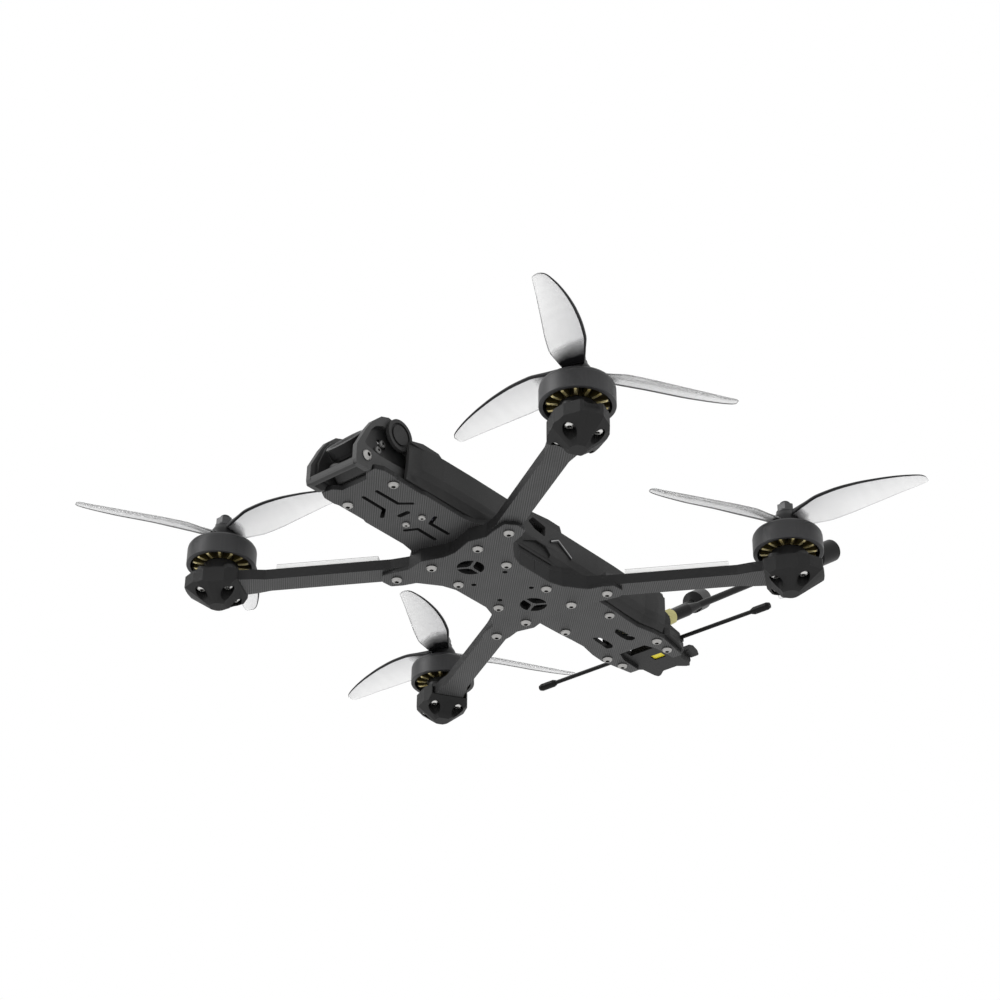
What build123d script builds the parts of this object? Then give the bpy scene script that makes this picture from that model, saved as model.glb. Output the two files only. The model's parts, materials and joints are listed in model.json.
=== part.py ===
from build123d import *
import math
import os

# ---------------------------------------------------------------------------
# Long-range FPV quadcopter, 6-inch propellers.
# Millimetres, +Z up, nose towards -Y.  Origin: underside of the belly plate,
# at the centre of its bolt patterns.
# ---------------------------------------------------------------------------

# ---- driving dimensions ----------------------------------------------------
MOTOR_X, MOTOR_Y = 112.66, 83.40      # motor axes from the origin
ARM_DEG = 29.8                        # arm centreline from the X axis
STACK = 30.5                          # flight-stack bolt pattern
BELLY = 20.0                          # free bolt pattern of the belly plate
Z_BELLY0, Z_BELLY1 = 0.0, 2.0         # belly plate
Z_ARM0, Z_ARM1 = 2.0, 7.5             # arms
Z_MAIN0, Z_MAIN1 = 7.5, 10.0          # main plate
Z_TOP0, Z_TOP1 = 28.0, 30.0           # top plate
Z_FOOT = -8.0                         # soles of the four landing feet
BELL_R = 17.25                        # motor bell radius
BELL_Z0, BELL_Z1 = 14.4, 26.5         # bell skirt bottom and cap top
SHAFT_R = 2.0                         # shaft in the bearings
PROP_SHAFT_R = 2.5                    # threaded propeller shaft
PROP_R = 76.0                         # propeller tip radius
HUB_R, HUB_Z0, HUB_Z1 = 7.2, 29.4, 37.2
SHAFT_TOP = 43.8
SCREW_PCD_R = 9.3                     # motor screws from the motor axis
CAM_PIVOT = (-106.0, 20.8)            # camera tilt axis, y and z
CAM_TILT = 42.0                       # camera lens above the horizon at rest
LENS_C = (-111.8, 26.2)               # middle of the lens glass, y and z
ANT_BASE = (15.6, 113.0, 23.3)        # antenna connector mouth, right side
ANT_HEAD = (44.4, 233.1, 106.5)       # middle of the antenna head, right side
RX_Y, RX_Z = 122.4, 15.3              # receiver antenna line
RX_HALF = 64.4

os.makedirs("parts", exist_ok=True)


def save(shape, name):
    export_step(shape, f"parts/{name}.step")


def solids_of(*items):
    out = []
    for it in items:
        out += list(it.solids())
    return Compound(children=out) if len(out) > 1 else out[0]


def plate(points, z0, z1, r=0.0):
    sk = make_face(Polyline(*points, close=True))
    if r:
        sk = fillet(sk.vertices(), r)
    return extrude(Plane.XY.offset(z0) * sk, amount=z1 - z0)


def cyl(x, y, z0, z1, r):
    return Pos(x, y, (z0 + z1) / 2) * Cylinder(r, z1 - z0)


def box(x0, x1, y0, y1, z0, z1):
    return Pos((x0 + x1) / 2, (y0 + y1) / 2, (z0 + z1) / 2) * Box(x1 - x0, y1 - y0, z1 - z0)


def mirror4(points):
    """Closed outline from its first quadrant, given from +X round to +Y."""
    q = list(points)
    out = list(q)
    out += [(-x, y) for x, y in reversed(q)]
    out += [(-x, -y) for x, y in q]
    out += [(x, -y) for x, y in reversed(q)]
    clean = []
    for p in out:
        if not clean or math.dist(p, clean[-1]) > 1e-6:
            clean.append(p)
    if math.dist(clean[0], clean[-1]) < 1e-6:
        clean.pop()
    return clean


def mirror_x(points):
    """Closed outline from its right half, given front to rear."""
    return list(points) + [(-x, y) for x, y in reversed(points)]


def screw(x, y, head_z, length, r=1.5, head_r=2.6, head_h=1.6, up=True, hex_af=2.0):
    """Button-head screw.  head_z is the underside of the head, the shank runs
    up from it (up=True) or down from it."""
    s = 1 if up else -1
    prof = [(0, 0), (r, 0), (r, -s * 0), (head_r, 0), (head_r, -s * 0.45),
            (head_r * 0.86, -s * 1.0), (head_r * 0.55, -s * head_h), (0, -s * head_h)]
    pts = [(0, s * length), (r - 0.3, s * length), (r, s * (length - 0.4)), (r, 0), (head_r, 0),
           (head_r, -s * 0.45), (head_r * 0.88, -s * 1.05), (head_r * 0.55, -s * head_h),
           (0, -s * head_h)]
    face = make_face(Polyline(*[(a, 0, b) for a, b in pts], close=True))
    body = revolve(face, Axis.Z)
    sock = extrude(RegularPolygon(hex_af / math.sqrt(3), 6), amount=s * 1.0)
    sock = Pos(0, 0, -s * head_h) * sock
    return Pos(x, y, head_z) * (body - sock)


def arm_frame(sx, sy):
    """Unit vectors of an arm: outboard and lateral."""
    a = math.radians(ARM_DEG)
    e = (sx * math.cos(a), sy * math.sin(a))
    return e, (-e[1], e[0])


def arm_loc(sx, sy, z=0.0):
    """Location at the motor axis with local +X outboard along the arm."""
    ang = math.degrees(math.atan2(sy * math.sin(math.radians(ARM_DEG)), sx * math.cos(math.radians(ARM_DEG))))
    return Location((sx * MOTOR_X, sy * MOTOR_Y, z), (0, 0, ang))


CORNERS = {"front_right": (1, -1), "front_left": (-1, -1), "rear_right": (1, 1), "rear_left": (-1, 1)}
H = STACK / 2
B2 = BELLY / 2

# ---- common outlines and holes ----------------------------------------------
STACK_XY = [(sx * H, sy * H) for sx in (1, -1) for sy in (1, -1)]
ARM_SCREW_XY = [(sx * a, sy * b) for sx in (1, -1) for sy in (1, -1) for a, b in ((14.6, 35.8), (35.5, 37.8))]
FREE_XY = [(sx * B2, sy * B2) for sx in (1, -1) for sy in (1, -1)]


def three_lobe(yc, z0, z1, r=6.7, spoke=1.5):
    """Round vent split into three lobes by three spokes."""
    s = 1 if yc > 0 else -1
    v = cyl(0, yc, z0, z1, r) - cyl(0, yc, z0 - 1, z1 + 1, 1.5)
    for k in range(3):
        ang = s * (30 + 120 * k)
        v -= Location((0, yc, (z0 + z1) / 2), (0, 0, ang)) * (Pos(r / 2 + 1, 0, 0) * Box(r + 2, spoke, z1 - z0 + 2))
    return v


# ---- belly plate --------------------------------------------------------------
belly_q = [(20.4, 11.5), (22.8, 18.6), (30.6, 28.8), (37.5, 31.2), (42.6, 34.2), (43.0, 40.2), (38.6, 44.9),
           (31.0, 43.4), (24.6, 41.3), (15.2, 43.4), (9.0, 41.3), (3.5, 39.4)]
belly = plate(mirror4(belly_q), Z_BELLY0, Z_BELLY1, 1.6)
for x, y in STACK_XY + ARM_SCREW_XY:
    belly -= cyl(x, y, -1, 3, 1.6)
for x, y in FREE_XY:
    belly -= cyl(x, y, -1, 3, 1.25)
for s in (1, -1):
    belly -= three_lobe(24 * s, -1, 3)
belly = chamfer(belly.faces().sort_by(Axis.Z)[0].outer_wire().edges(), 0.25)
save(belly, "belly_plate")

# ---- arms ------------------------------------------------------------------------
ARM_HW = 5.8       # half width
PAD_HW = 9.4       # half width of the motor pad


def arm(sx, sy):
    """One arm: root quadrant under the main plate, straight run, flare, motor pad."""
    e, n = arm_frame(sx, sy)

    def at(u, v):
        # v > 0 is the side that faces away from the centre line y = 0
        k = 1 if sx * sy > 0 else -1
        return (sx * MOTOR_X + u * e[0] + v * k * n[0], sy * MOTOR_Y + u * e[1] + v * k * n[1])

    g = 0.12  # half of the gap between neighbouring roots
    pts = [(sx * g, sy * g), (sx * 20.3, sy * g), (sx * 20.3, sy * 11.5), (sx * 22.7, sy * 18.6),
           (sx * 30.0, sy * 28.3)]
    pts += [at(-88, -ARM_HW), at(-25, -ARM_HW), at(-18, -7.2), at(-13, -7.6), at(-8, -PAD_HW), at(4, -PAD_HW),
            at(9, -6.8), at(12.0, -3), at(12.0, 3), at(9, 6.8), at(4, PAD_HW), at(-8, PAD_HW), at(-13, 7.6),
            at(-18, 7.2), at(-25, ARM_HW), at(-88, ARM_HW)]
    pts += [(sx * 24.6, sy * 41.2), (sx * 15.2, sy * 43.2), (sx * 9.0, sy * 41.1), (sx * 3.5, sy * 39.2),
            (sx * g, sy * 39.2)]
    a = plate(pts, Z_ARM0, Z_ARM1)
    vert = [ed for ed in a.edges().filter_by(Axis.Z)
            if abs(ed.center().X - sx * MOTOR_X) < 40 or abs(abs(ed.center().X) - 22.7) < 0.3
            or abs(abs(ed.center().X) - 30.0) < 0.3]
    a = fillet(vert, 1.8)
    a -= cyl(sx * H, sy * H, 0, 9, 1.6)
    a -= cyl(sx * B2, sy * B2, 0, 9, 1.6)
    a -= cyl(0, sy * 24, 0, 9, 7.6)
    for px, py in ARM_SCREW_XY:
        if px * sx > 0 and py * sy > 0:
            a -= cyl(px, py, 0, 9, 1.6)
    loc = arm_loc(sx, sy)
    a -= loc * cyl(0, 0, 0, 9, 4.4)
    for k in range(4):
        an = math.radians(45 + 90 * k)
        a -= loc * cyl(SCREW_PCD_R * math.cos(an), SCREW_PCD_R * math.sin(an), 0, 9, 1.6)
    return a


for name, (sx, sy) in CORNERS.items():
    save(arm(sx, sy), f"arm_{name}")

# ---- main plate ---------------------------------------------------------------------
main_r = [(7.6, -106.2), (10.5, -109.6), (16.6, -110.6), (18.9, -106.5), (19.0, -99.8), (18.3, -97.6), (18.3, -80.5),
          (19.1, -78.4), (19.1, -52.0), (20.4, -44.6), (23.0, -41.6),
          (26.8, -38.4), (27.6, -33.6), (25.8, -25.0), (22.4, -18.6), (20.3, -11.5), (20.3, 11.5), (22.4, 18.6),
          (25.8, 25.0), (27.6, 33.6), (26.8, 38.4), (23.0, 41.6), (19.8, 45.5),
          (19.0, 52.4), (18.5, 67.4), (17.8, 77.0), (17.5, 86.4), (19.8, 97.4), (20.4, 106.0),
          (18.2, 119.0), (16.8, 126.6), (11.2, 126.6), (10.6, 112.5), (8.0, 105.6)]
main = plate(mirror_x(main_r), Z_MAIN0, Z_MAIN1, 0.7)
PLATE_FRONT_XY = [(14.4, -95.2), (-14.4, -95.2)]
PLATE_SMALL_XY = [(5.05, -65.1), (-5.05, -65.1)]
PLATE_REAR_XY = [(s * a, b) for s in (1, -1) for a, b in ((14.3, 67.6), (16.1, 105.5))]
TAIL_XY = [(14.6, 116.5), (-14.6, 116.5)]
for x, y in STACK_XY + [q for q in ARM_SCREW_XY if abs(q[0]) < 20] + PLATE_FRONT_XY + PLATE_REAR_XY + TAIL_XY:
    main -= cyl(x, y, 7, 11, 1.6)
for x, y in PLATE_SMALL_XY:
    main -= cyl(x, y, 7, 11, 1.1)
for x, y in FREE_XY:
    main -= cyl(x, y, 7, 11, 1.6)
for s in (1, -1):
    main -= cyl(0, 24 * s, 7, 11, 6.6)


def bent_slot(pts, w=2.0):
    """Bent slot of constant width through the main plate."""
    cut = None
    for (x0, y0), (x1, y1) in zip(pts, pts[1:]):
        ln = math.dist((x0, y0), (x1, y1))
        ang = math.degrees(math.atan2(y1 - y0, x1 - x0))
        bar = Location(((x0 + x1) / 2, (y0 + y1) / 2, 8.75), (0, 0, ang)) * Box(ln, w, 4)
        cut = bar if cut is None else cut + bar
    for x, y in pts:
        cut += cyl(x, y, 6.75, 10.75, w / 2)
    return cut


main -= bent_slot([(4.2, -95.4), (4.4, -81.2), (9.6, -77.0)])
main -= bent_slot([(-4.2, -95.4), (-4.4, -81.2), (-9.6, -77.0)])
main -= bent_slot([(9.6, -60.9), (4.0, -58.0), (4.2, -45.6)])
main -= bent_slot([(-9.6, -60.9), (-4.0, -58.0), (-4.2, -45.6)])
main -= bent_slot([(-2.4, -72.4), (2.4, -72.4)], 2.6)
vent = [(7.8, 81.3), (4.7, 84.5), (4.1, 90.5), (4.6, 95.0), (6.4, 97.2), (9.5, 96.2), (9.0, 91.0), (8.7, 86.0)]
main -= plate(vent, 7, 11, 0.7)
main -= plate([(-x, y) for x, y in vent], 7, 11, 0.7)
main = chamfer(main.faces().sort_by(Axis.Z)[0].outer_wire().edges(), 0.2)
save(main, "main_plate")

# ---- top plate and standoffs ---------------------------------------------------------
top_r = [(9.0, -86.0), (17.6, -86.0), (18.8, -83.0), (20.0, -70.0), (20.4, -50.0), (20.4, 60.0), (19.7, 76.0),
         (19.6, 88.0), (20.5, 98.0), (20.5, 102.6), (12.0, 108.6), (5.0, 108.6)]
top = plate(mirror_x(top_r), Z_TOP0, Z_TOP1, 0.9)
STAND_XY = [(14.4, -80.0), (-14.4, -80.0), (14.4, -30.0), (-14.4, -30.0), (14.3, 67.6), (-14.3, 67.6)]
for x, y in STAND_XY + PLATE_REAR_XY[1::2]:
    top -= cyl(x, y, 27, 31, 1.6)
# two strap slots each side, a cable window and lightening cuts
for s in (1, -1):
    for y in (-14.0, 22.0):
        top -= box(s * 15.2 - 1.3, s * 15.2 + 1.3, y - 10, y + 10, 27, 31)
top -= plate([(-8, 34), (8, 34), (6, 48), (-6, 48)], 27, 31, 1.5)
top -= plate([(-7, -70), (7, -70), (5, -54), (-5, -54)], 27, 31, 1.5)
top -= plate([(-6, 78), (6, 78), (6, 92), (-6, 92)], 27, 31, 1.5)
save(top, "top_plate")
pad = plate([(-11.6, -66), (11.6, -66), (11.6, 62), (-11.6, 62)], Z_TOP1, Z_TOP1 + 1.6, 2.0)
save(pad, "battery_pad")

STAND_R = 2.6
MAIN_STAND_XY = [(14.4, -80.0), (-14.4, -80.0), (14.4, -30.0), (-14.4, -30.0), (14.3, 67.6), (-14.3, 67.6)]
stands = []
for x, y in MAIN_STAND_XY:
    st = cyl(x, y, Z_MAIN1, Z_TOP0, STAND_R)
    st = chamfer(st.edges().filter_by(GeomType.CIRCLE), 0.3)
    st -= cyl(x, y, Z_MAIN1 - 1, Z_MAIN1 + 7.0, 1.52)
    st -= cyl(x, y, Z_TOP0 - 7.0, Z_TOP0 + 1, 1.52)
    stands.append(st)
save(solids_of(*stands), "standoffs")

# ---- belly, main plate and top plate screws -----------------------------------------
save(solids_of(*[screw(x, y, Z_BELLY0, 12.4 if abs(x) < 20 else 9.9) for x, y in ARM_SCREW_XY]), "arm_screws")
ARM_NUTS = []
for x, y in ARM_SCREW_XY:
    z_nut = Z_MAIN1 if abs(x) < 20 else Z_ARM1
    nut = Pos(x, y, z_nut) * extrude(RegularPolygon(5.5 / math.sqrt(3), 6), amount=2.4)
    ARM_NUTS.append(nut - cyl(x, y, 7, 14, 1.52))

plate_screws = [screw(x, y, Z_MAIN0, 2.4) for x, y in PLATE_FRONT_XY]
plate_screws += [screw(x, y, Z_MAIN0, 8.0) for x, y in PLATE_REAR_XY + TAIL_XY]
plate_screws += [screw(x, y, Z_MAIN0, 6.0, r=1.0, head_r=1.9, head_h=1.2, hex_af=1.3) for x, y in PLATE_SMALL_XY]
save(solids_of(*plate_screws), "plate_screws")
save(solids_of(*[screw(x, y, Z_TOP1, 6.0, up=False) for x, y in MAIN_STAND_XY]), "top_screws")

# ---- flight stack ------------------------------------------------------------------------
STACK_BOLT_L = 28.0
save(solids_of(*[screw(x, y, Z_BELLY0, STACK_BOLT_L) for x, y in STACK_XY]), "stack_bolts")
grommets, nuts = [], []
for x, y in STACK_XY:
    g = cyl(x, y, Z_MAIN1, 13.0, 3.0)
    g += cyl(x, y, 13.0, 14.6, 2.4) + cyl(x, y, 14.6, 19.0, 3.0) + cyl(x, y, 19.0, 20.6, 2.4) + cyl(x, y, 20.6, 22.4, 3.0)
    g -= cyl(x, y, 9, 24, 1.55)
    grommets.append(g)
    nut = Pos(x, y, 22.4) * extrude(RegularPolygon(5.5 / math.sqrt(3), 6), amount=3.2)
    nuts.append(nut - cyl(x, y, 22, 27, 1.52))
save(solids_of(*grommets), "stack_grommets")
save(solids_of(*(nuts + ARM_NUTS)), "lock_nuts")


def board(w, d, z0, z1, hole):
    b = plate([(-w / 2, -d / 2), (w / 2, -d / 2), (w / 2, d / 2), (-w / 2, d / 2)], z0, z1, 2.0)
    for x, y in STACK_XY:
        b -= cyl(x, y, z0 - 1, z1 + 1, hole)
    return b


esc = board(37.0, 38.0, 13.0, 14.6, 2.5)
for k in range(4):
    esc += box(-11.4 + 6.2 * k, -7.2 + 6.2 * k, -16.5, -12.0, 12.0, 13.0)
    esc += box(-11.4 + 6.2 * k, -7.2 + 6.2 * k, 12.0, 16.5, 12.0, 13.0)
esc += box(-10, 10, -7, 7, 14.6, 15.8)
save(esc, "esc_board")
fc = board(36.0, 36.0, 19.0, 20.4, 2.5)
fc += box(-4, 4, -4, 4, 20.4, 21.4)
fc += box(-17, -10.5, -4.5, 4.5, 20.4, 23.0)
fc += box(-8, 8, 12.5, 17.0, 20.4, 22.6)
fc -= box(6.4, 10.6, 4.4, 8.6, 20.15, 24.0)
fc += box(6.4, 10.6, 4.4, 8.6, 19.5, 20.4)
button_wall = box(6.5, 10.5, 4.5, 8.5, 20.4, 21.6) - cyl(8.5, 6.5, 20.4, 23, 1.05)
fc += button_wall
save(fc, "flight_controller")
# boot button: a short round plunger in the switch housing
btn = cyl(8.5, 6.5, 20.75, 22.4, 1.0)
save(btn, "boot_button")

# ---- video transmitter, receiver, capacitor -----------------------------------------------
vtx = box(-11, 11, 24, 57, 12.2, 20.2)
vtx = fillet(vtx.edges().filter_by(Axis.Z), 2.0)
for k in range(6):
    vtx -= box(-8.8 + 3.2 * k, -7.2 + 3.2 * k, 26, 55, 18.2, 21)
vtx += box(-10, 10, 26, 55, Z_MAIN1, 12.2) - box(-8, 8, 23, 58, Z_MAIN1 - 1, 12.2)
save(vtx, "video_transmitter")
rx = box(-7, 7, 78, 96, 13.0, 14.2)
rx += box(-5.5, 3.5, 80, 92, 14.2, 15.8)
rx += box(4.0, 6.4, 81, 84, 14.2, 15.4)
rx += box(-6, 6, 79, 95, Z_MAIN1, 13.0) - box(-4, 4, 77, 97, Z_MAIN1 - 1, 13.0)
save(rx, "receiver")
cap = Location((0, -47.0, 15.2), (90, 0, 0)) * Cylinder(5.1, 20.0)
cap = chamfer(cap.edges().filter_by(GeomType.CIRCLE), 0.5)
save(cap, "capacitor")

# ---- side panels ------------------------------------------------------------------------------
# stations nose to tail: y, then the outer face's x at the foot, the bulge and the top edge
PANEL = [(-92.0, 19.1, 20.2, 20.6), (-84.0, 19.3, 21.4, 21.6), (-70.0, 19.6, 22.4, 22.6), (-50.0, 20.0, 22.9, 23.0),
         (-22.0, 20.9, 23.0, 23.0), (22.0, 20.9, 23.0, 23.0), (46.0, 20.0, 23.0, 23.0), (60.0, 19.3, 22.8, 23.0),
         (76.0, 18.6, 22.0, 22.4), (88.0, 18.5, 21.8, 22.2), (98.0, 20.4, 23.0, 23.2), (104.0, 20.8, 23.2, 23.2)]
PANEL_Z0, PANEL_Z1 = 10.1, 29.8


def side_panel(s):
    wires = []
    for y, xb, xm, xt in PANEL:
        outer = [(xb, PANEL_Z0), (xb + 0.72 * (xm - xb), 14.0), (xm, 18.0), (xt, PANEL_Z1)]
        inner = [(xt - 2.4, PANEL_Z1), (xm - 2.2, 18.4), (xb - 1.45, 12.6), (xb - 1.45, PANEL_Z0)]
        if y == -92.0:
            inner = [(xt - 1.3, PANEL_Z1), (xm - 1.6, 18.4), (xb - 1.2, 12.6), (xb - 1.2, PANEL_Z0)]
        wires.append(Wire.make_polygon([Vector(s * x, y, z) for x, z in outer + inner]))
    p = Solid.make_loft(wires, ruled=True)
    # tabs that stand above the straight top edge
    for y0, y1, y2, y3, zt in ((-92.0, -84.0, -73.0, -70.0, 32.0), (-22.0, 8.0, 17.0, 18.6, 33.4), (97.0, 99.5, 103.0, 104.0, 32.0)):
        tab = make_face(Polyline((y0, PANEL_Z1 - 1), (y0, PANEL_Z1), (y1, zt), (y2, zt), (y3, PANEL_Z1 + 0.2),
                                 (y3, PANEL_Z1 - 1), close=True))
        solid = extrude(Plane(origin=(s * 20.9, 0, 0), x_dir=(0, 1, 0), z_dir=(1, 0, 0)) * tab, amount=1.6, both=False)
        if s < 0:
            solid = Pos(-1.6, 0, 0) * solid
        if y0 < -80:
            solid = Pos(s * -0.8, 0, 0) * solid
        p += solid
    # vent window behind the front arm, cable vent, pocket below the chevron
    win = fillet(make_face(Polyline((-8.2, 25.2), (-4.6, 28.8), (5.2, 27.4), (4.6, 21.8), (-3.4, 22.6), close=True)).vertices(), 0.6)
    win = extrude(Plane(origin=(18, 0, 0), x_dir=(0, 1, 0), z_dir=(1, 0, 0)) * win, amount=8)
    p -= win if s > 0 else mirror(win, Plane.YZ)
    p -= box(min(s * 17, s * 26), max(s * 17, s * 26), 52.0, 60.0, 14.0, 18.0)
    pk = make_face(Polyline((-12.4, 12.6), (-1.8, 16.9), (5.4, 16.7), (9.6, 14.2), (9.4, 12.2), (6.4, 11.2), (-9.4, 11.2), close=True))
    pk = fillet(pk.vertices(), 0.9)
    p -= extrude(Plane(origin=(21.5, 0, 0), x_dir=(0, 1, 0), z_dir=(1, 0, 0)) * pk, amount=4) if s > 0 else \
        extrude(Plane(origin=(-25.5, 0, 0), x_dir=(0, 1, 0), z_dir=(1, 0, 0)) * pk, amount=4)
    chev = [(8.5, 21.4), (14.5, 24.4), (25.6, 18.6), (24.9, 17.4), (14.4, 22.8), (9.1, 20.1)]
    c = extrude(Plane(origin=(22.6, 0, 0), x_dir=(0, 1, 0), z_dir=(1, 0, 0)) * make_face(Polyline(*chev, close=True)), amount=1.0)
    if s < 0:
        c = mirror(c, Plane.YZ)
    p += c
    # inner lugs, each clipped round a standoff
    for y in (-80.0, -30.0, 67.6):
        x_in = 17.1
        lug = box(min(s * x_in, s * 21.0), max(s * x_in, s * 21.0), y - 3.2, y + 3.2, 17.0, 21.0)
        p += lug - cyl(s * (14.4 if y < 0 else 14.3), y, 16, 22, STAND_R + 0.15)
    return p


save(side_panel(1), "side_panel_right")
save(side_panel(-1), "side_panel_left")

# ---- camera cage ---------------------------------------------------------------------------------
YZ = lambda x: Plane(origin=(x, 0, 0), x_dir=(0, 1, 0), z_dir=(1, 0, 0))
CAGE_X0, CAGE_X1 = 13.3, 15.8
cage_out = [(-121.2, 6.0), (-121.8, 8.4), (-121.7, 16.2), (-116.0, 27.4), (-112.2, 33.2), (-106.6, 38.4), (-101.6, 40.2),
            (-98.0, 39.6), (-96.0, 36.4), (-91.0, 32.6), (-86.9, 30.6), (-86.4, 27.6), (-83.6, 27.6), (-83.6, 10.1),
            (-111.0, 10.1), (-111.8, 7.0), (-113.8, 6.0)]
cage_win = [(-116.6, 19.6), (-112.8, 28.2), (-109.8, 31.6), (-105.4, 33.6), (-98.0, 33.2), (-91.0, 28.8), (-86.2, 25.4),
            (-86.2, 17.6), (-106.0, 16.9), (-115.4, 18.4)]


def yz_plate(points, x0, x1, r=0.0):
    f = make_face(Polyline(*points, close=True))
    if r:
        f = fillet(f.vertices(), r)
    return extrude(YZ(x0) * f, amount=x1 - x0)


cage = None
for s in (1, -1):
    ring = yz_plate(cage_out, CAGE_X0, CAGE_X1, 0.6) - yz_plate(cage_win, 12, 18, 0.8)
    if s < 0:
        ring = mirror(ring, Plane.YZ)
    cage = ring if cage is None else cage + ring
# front rail, floor lip behind it and rear cross bar under the top plate
cage += box(-14, 14, -121.6, -118.8, 6.0, 9.6)
cage += box(-14, 14, -93.4, -90.2, 10.1, 12.6)
cage += box(-14, 14, -92.8, -90.2, 30.6, 33.4)
CAGE_SCREW = (-115.2, 12.8)
for s in (1, -1):
    cage -= Location((s * 14.9, CAGE_SCREW[0], CAGE_SCREW[1]), (0, 90, 0)) * Cylinder(1.6, 8)
save(cage, "camera_cage")

# round bumper discs on the cage's upper rear corners
discs = []
for s in (1, -1):
    d = Location((s * 16.8, -95.2, 32.9), (0, 90, 0)) * Cylinder(8.1, 1.8)
    groove = Location((s * 17.7, -95.2, 32.9), (0, 90, 0)) * (Cylinder(6.3, 1.2) - Cylinder(5.0, 1.2))
    d -= groove
    discs.append(d)
save(solids_of(*discs), "bumper_discs")

# camera side plates with a pivot hole and a curved slot for the lock screw
cheek_pts = [(-118.4, 10.7), (-118.4, 17.8), (-114.4, 27.8), (-111.0, 32.8), (-105.6, 35.2), (-97.0, 35.0), (-90.8, 31.0),
             (-87.2, 27.0), (-87.2, 10.7)]
LOCK = (-103.4, 25.4)
LOCK_R = math.dist(CAM_PIVOT, LOCK)
LOCK_A = math.degrees(math.atan2(LOCK[1] - CAM_PIVOT[1], LOCK[0] - CAM_PIVOT[0]))
TILT = 20.0


def cheek(s):
    c = yz_plate(cheek_pts, 11.5, 13.2, 0.5)
    c = c - Location((12.35, CAM_PIVOT[0], CAM_PIVOT[1]), (0, 90, 0)) * Cylinder(1.05, 6)
    for k in range(-11, 12):
        a = math.radians(LOCK_A + k * (TILT + 1.5) / 11)
        y = CAM_PIVOT[0] + LOCK_R * math.cos(a)
        z = CAM_PIVOT[1] + LOCK_R * math.sin(a)
        c -= Location((12.35, y, z), (0, 90, 0)) * Cylinder(1.25, 6)
    for y, z in ((CAGE_SCREW[0], CAGE_SCREW[1]),):
        c -= Location((12.35, y, z), (0, 90, 0)) * Cylinder(1.6, 6)
    c -= box(11, 14, -93.7, -89.9, 10, 12.9) + box(11, 14, -93.1, -89.9, 30.3, 36)
    if s < 0:
        c = mirror(c, Plane.YZ)
    return c


save(cheek(1), "camera_plate_right")
save(cheek(-1), "camera_plate_left")


def side_screw(s, x_head, y, z, length, r, head_r, head_h, af):
    """Screw along X, head outboard, underside of the head at x_head."""
    sc = screw(0, 0, 0, length, r=r, head_r=head_r, head_h=head_h, hex_af=af)
    # +Z of the screw points inboard
    return Location((s * x_head, y, z), (0, -90 if s > 0 else 90, 0)) * sc


save(solids_of(*[side_screw(s, CAGE_X1, CAGE_SCREW[0], CAGE_SCREW[1], 4.8, 1.5, 2.6, 1.6, 2.0) for s in (1, -1)]),
     "cage_screws")

# ---- camera (tilting) -----------------------------------------------------------------------------
t = math.radians(CAM_TILT)
AX = (0, -math.cos(t), math.sin(t))       # lens axis
lens_plane = Plane(origin=(0, LENS_C[0], LENS_C[1]), x_dir=(1, 0, 0), z_dir=AX)
cam = lens_plane * (Pos(0, 0, -9.3) * Box(20.6, 17.0, 10.4))
cam = fillet(cam.edges(), 1.6)
for s in (1, -1):
    cam -= Location((s * 8.0, CAM_PIVOT[0], CAM_PIVOT[1]), (0, 90, 0)) * Cylinder(1.02, 8)
    cam -= Location((s * 8.0, LOCK[0], LOCK[1]), (0, 90, 0)) * Cylinder(1.02, 8)
save(cam, "camera_body")


def lens_ring(r_out, r_in, d0, d1):
    a = lens_plane * (Pos(0, 0, (d0 + d1) / 2) * Cylinder(r_out, d1 - d0))
    if r_in:
        a -= lens_plane * (Pos(0, 0, (d0 + d1) / 2) * Cylinder(r_in, d1 - d0 + 2))
    return a


barrel = lens_ring(9.2, 0, -4.05, -1.6) + lens_ring(9.9, 8.4, -2.4, 2.6) + lens_ring(9.4, 8.9, 2.6, 3.0)
barrel += lens_ring(6.2, 4.6, -1.6, 0.4)
save(barrel, "lens_barrel")
glass_prof = [(0, 0, -1.5), (4.5, 0, -1.5), (4.5, 0, -0.4), (3.4, 0, 0.6), (2.0, 0, 1.25), (0, 0, 1.5)]
glass = lens_plane * revolve(make_face(Polyline(*glass_prof, close=True)), Axis.Z)
save(glass, "lens_glass")
cam_screws = []
for s in (1, -1):
    for y, z in (CAM_PIVOT, LOCK):
        cam_screws.append(side_screw(s, 13.35, y, z, 7.0, 1.0, 2.0, 1.3, 1.3))
save(solids_of(*cam_screws), "camera_screws")

# ---- tail mount ------------------------------------------------------------------------------------
tail_out = [(8.0, 105.4), (20.4, 106.4), (22.0, 109.0), (20.8, 119.0), (17.6, 127.4), (12.2, 131.6), (11.4, 140.6),
            (10.4, 143.2), (8.4, 142.6), (4.4, 139.4)]
tail = plate(mirror_x(tail_out), Z_MAIN1, 14.4, 0.8)
# low side walls and the blocks that carry the antenna sockets
for s in (1, -1):
    wall = yz_plate([(106.4, 13.0), (106.4, 18.4), (112.0, 18.4), (120.0, 17.2), (124.0, 15.0), (124.0, 13.0)], 16.4, 20.2, 0.5)
    block = yz_plate([(106.1, 13.0), (106.1, 22.0), (108.4, 24.0), (111.4, 20.0), (112.6, 13.0)], 10.6, 18.2, 0.5)
    if s < 0:
        wall, block = mirror(wall, Plane.YZ), mirror(block, Plane.YZ)
    tail += wall + block
tail += box(-10.8, 10.8, 133.4, 137.0, 13.0, 17.2)
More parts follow.
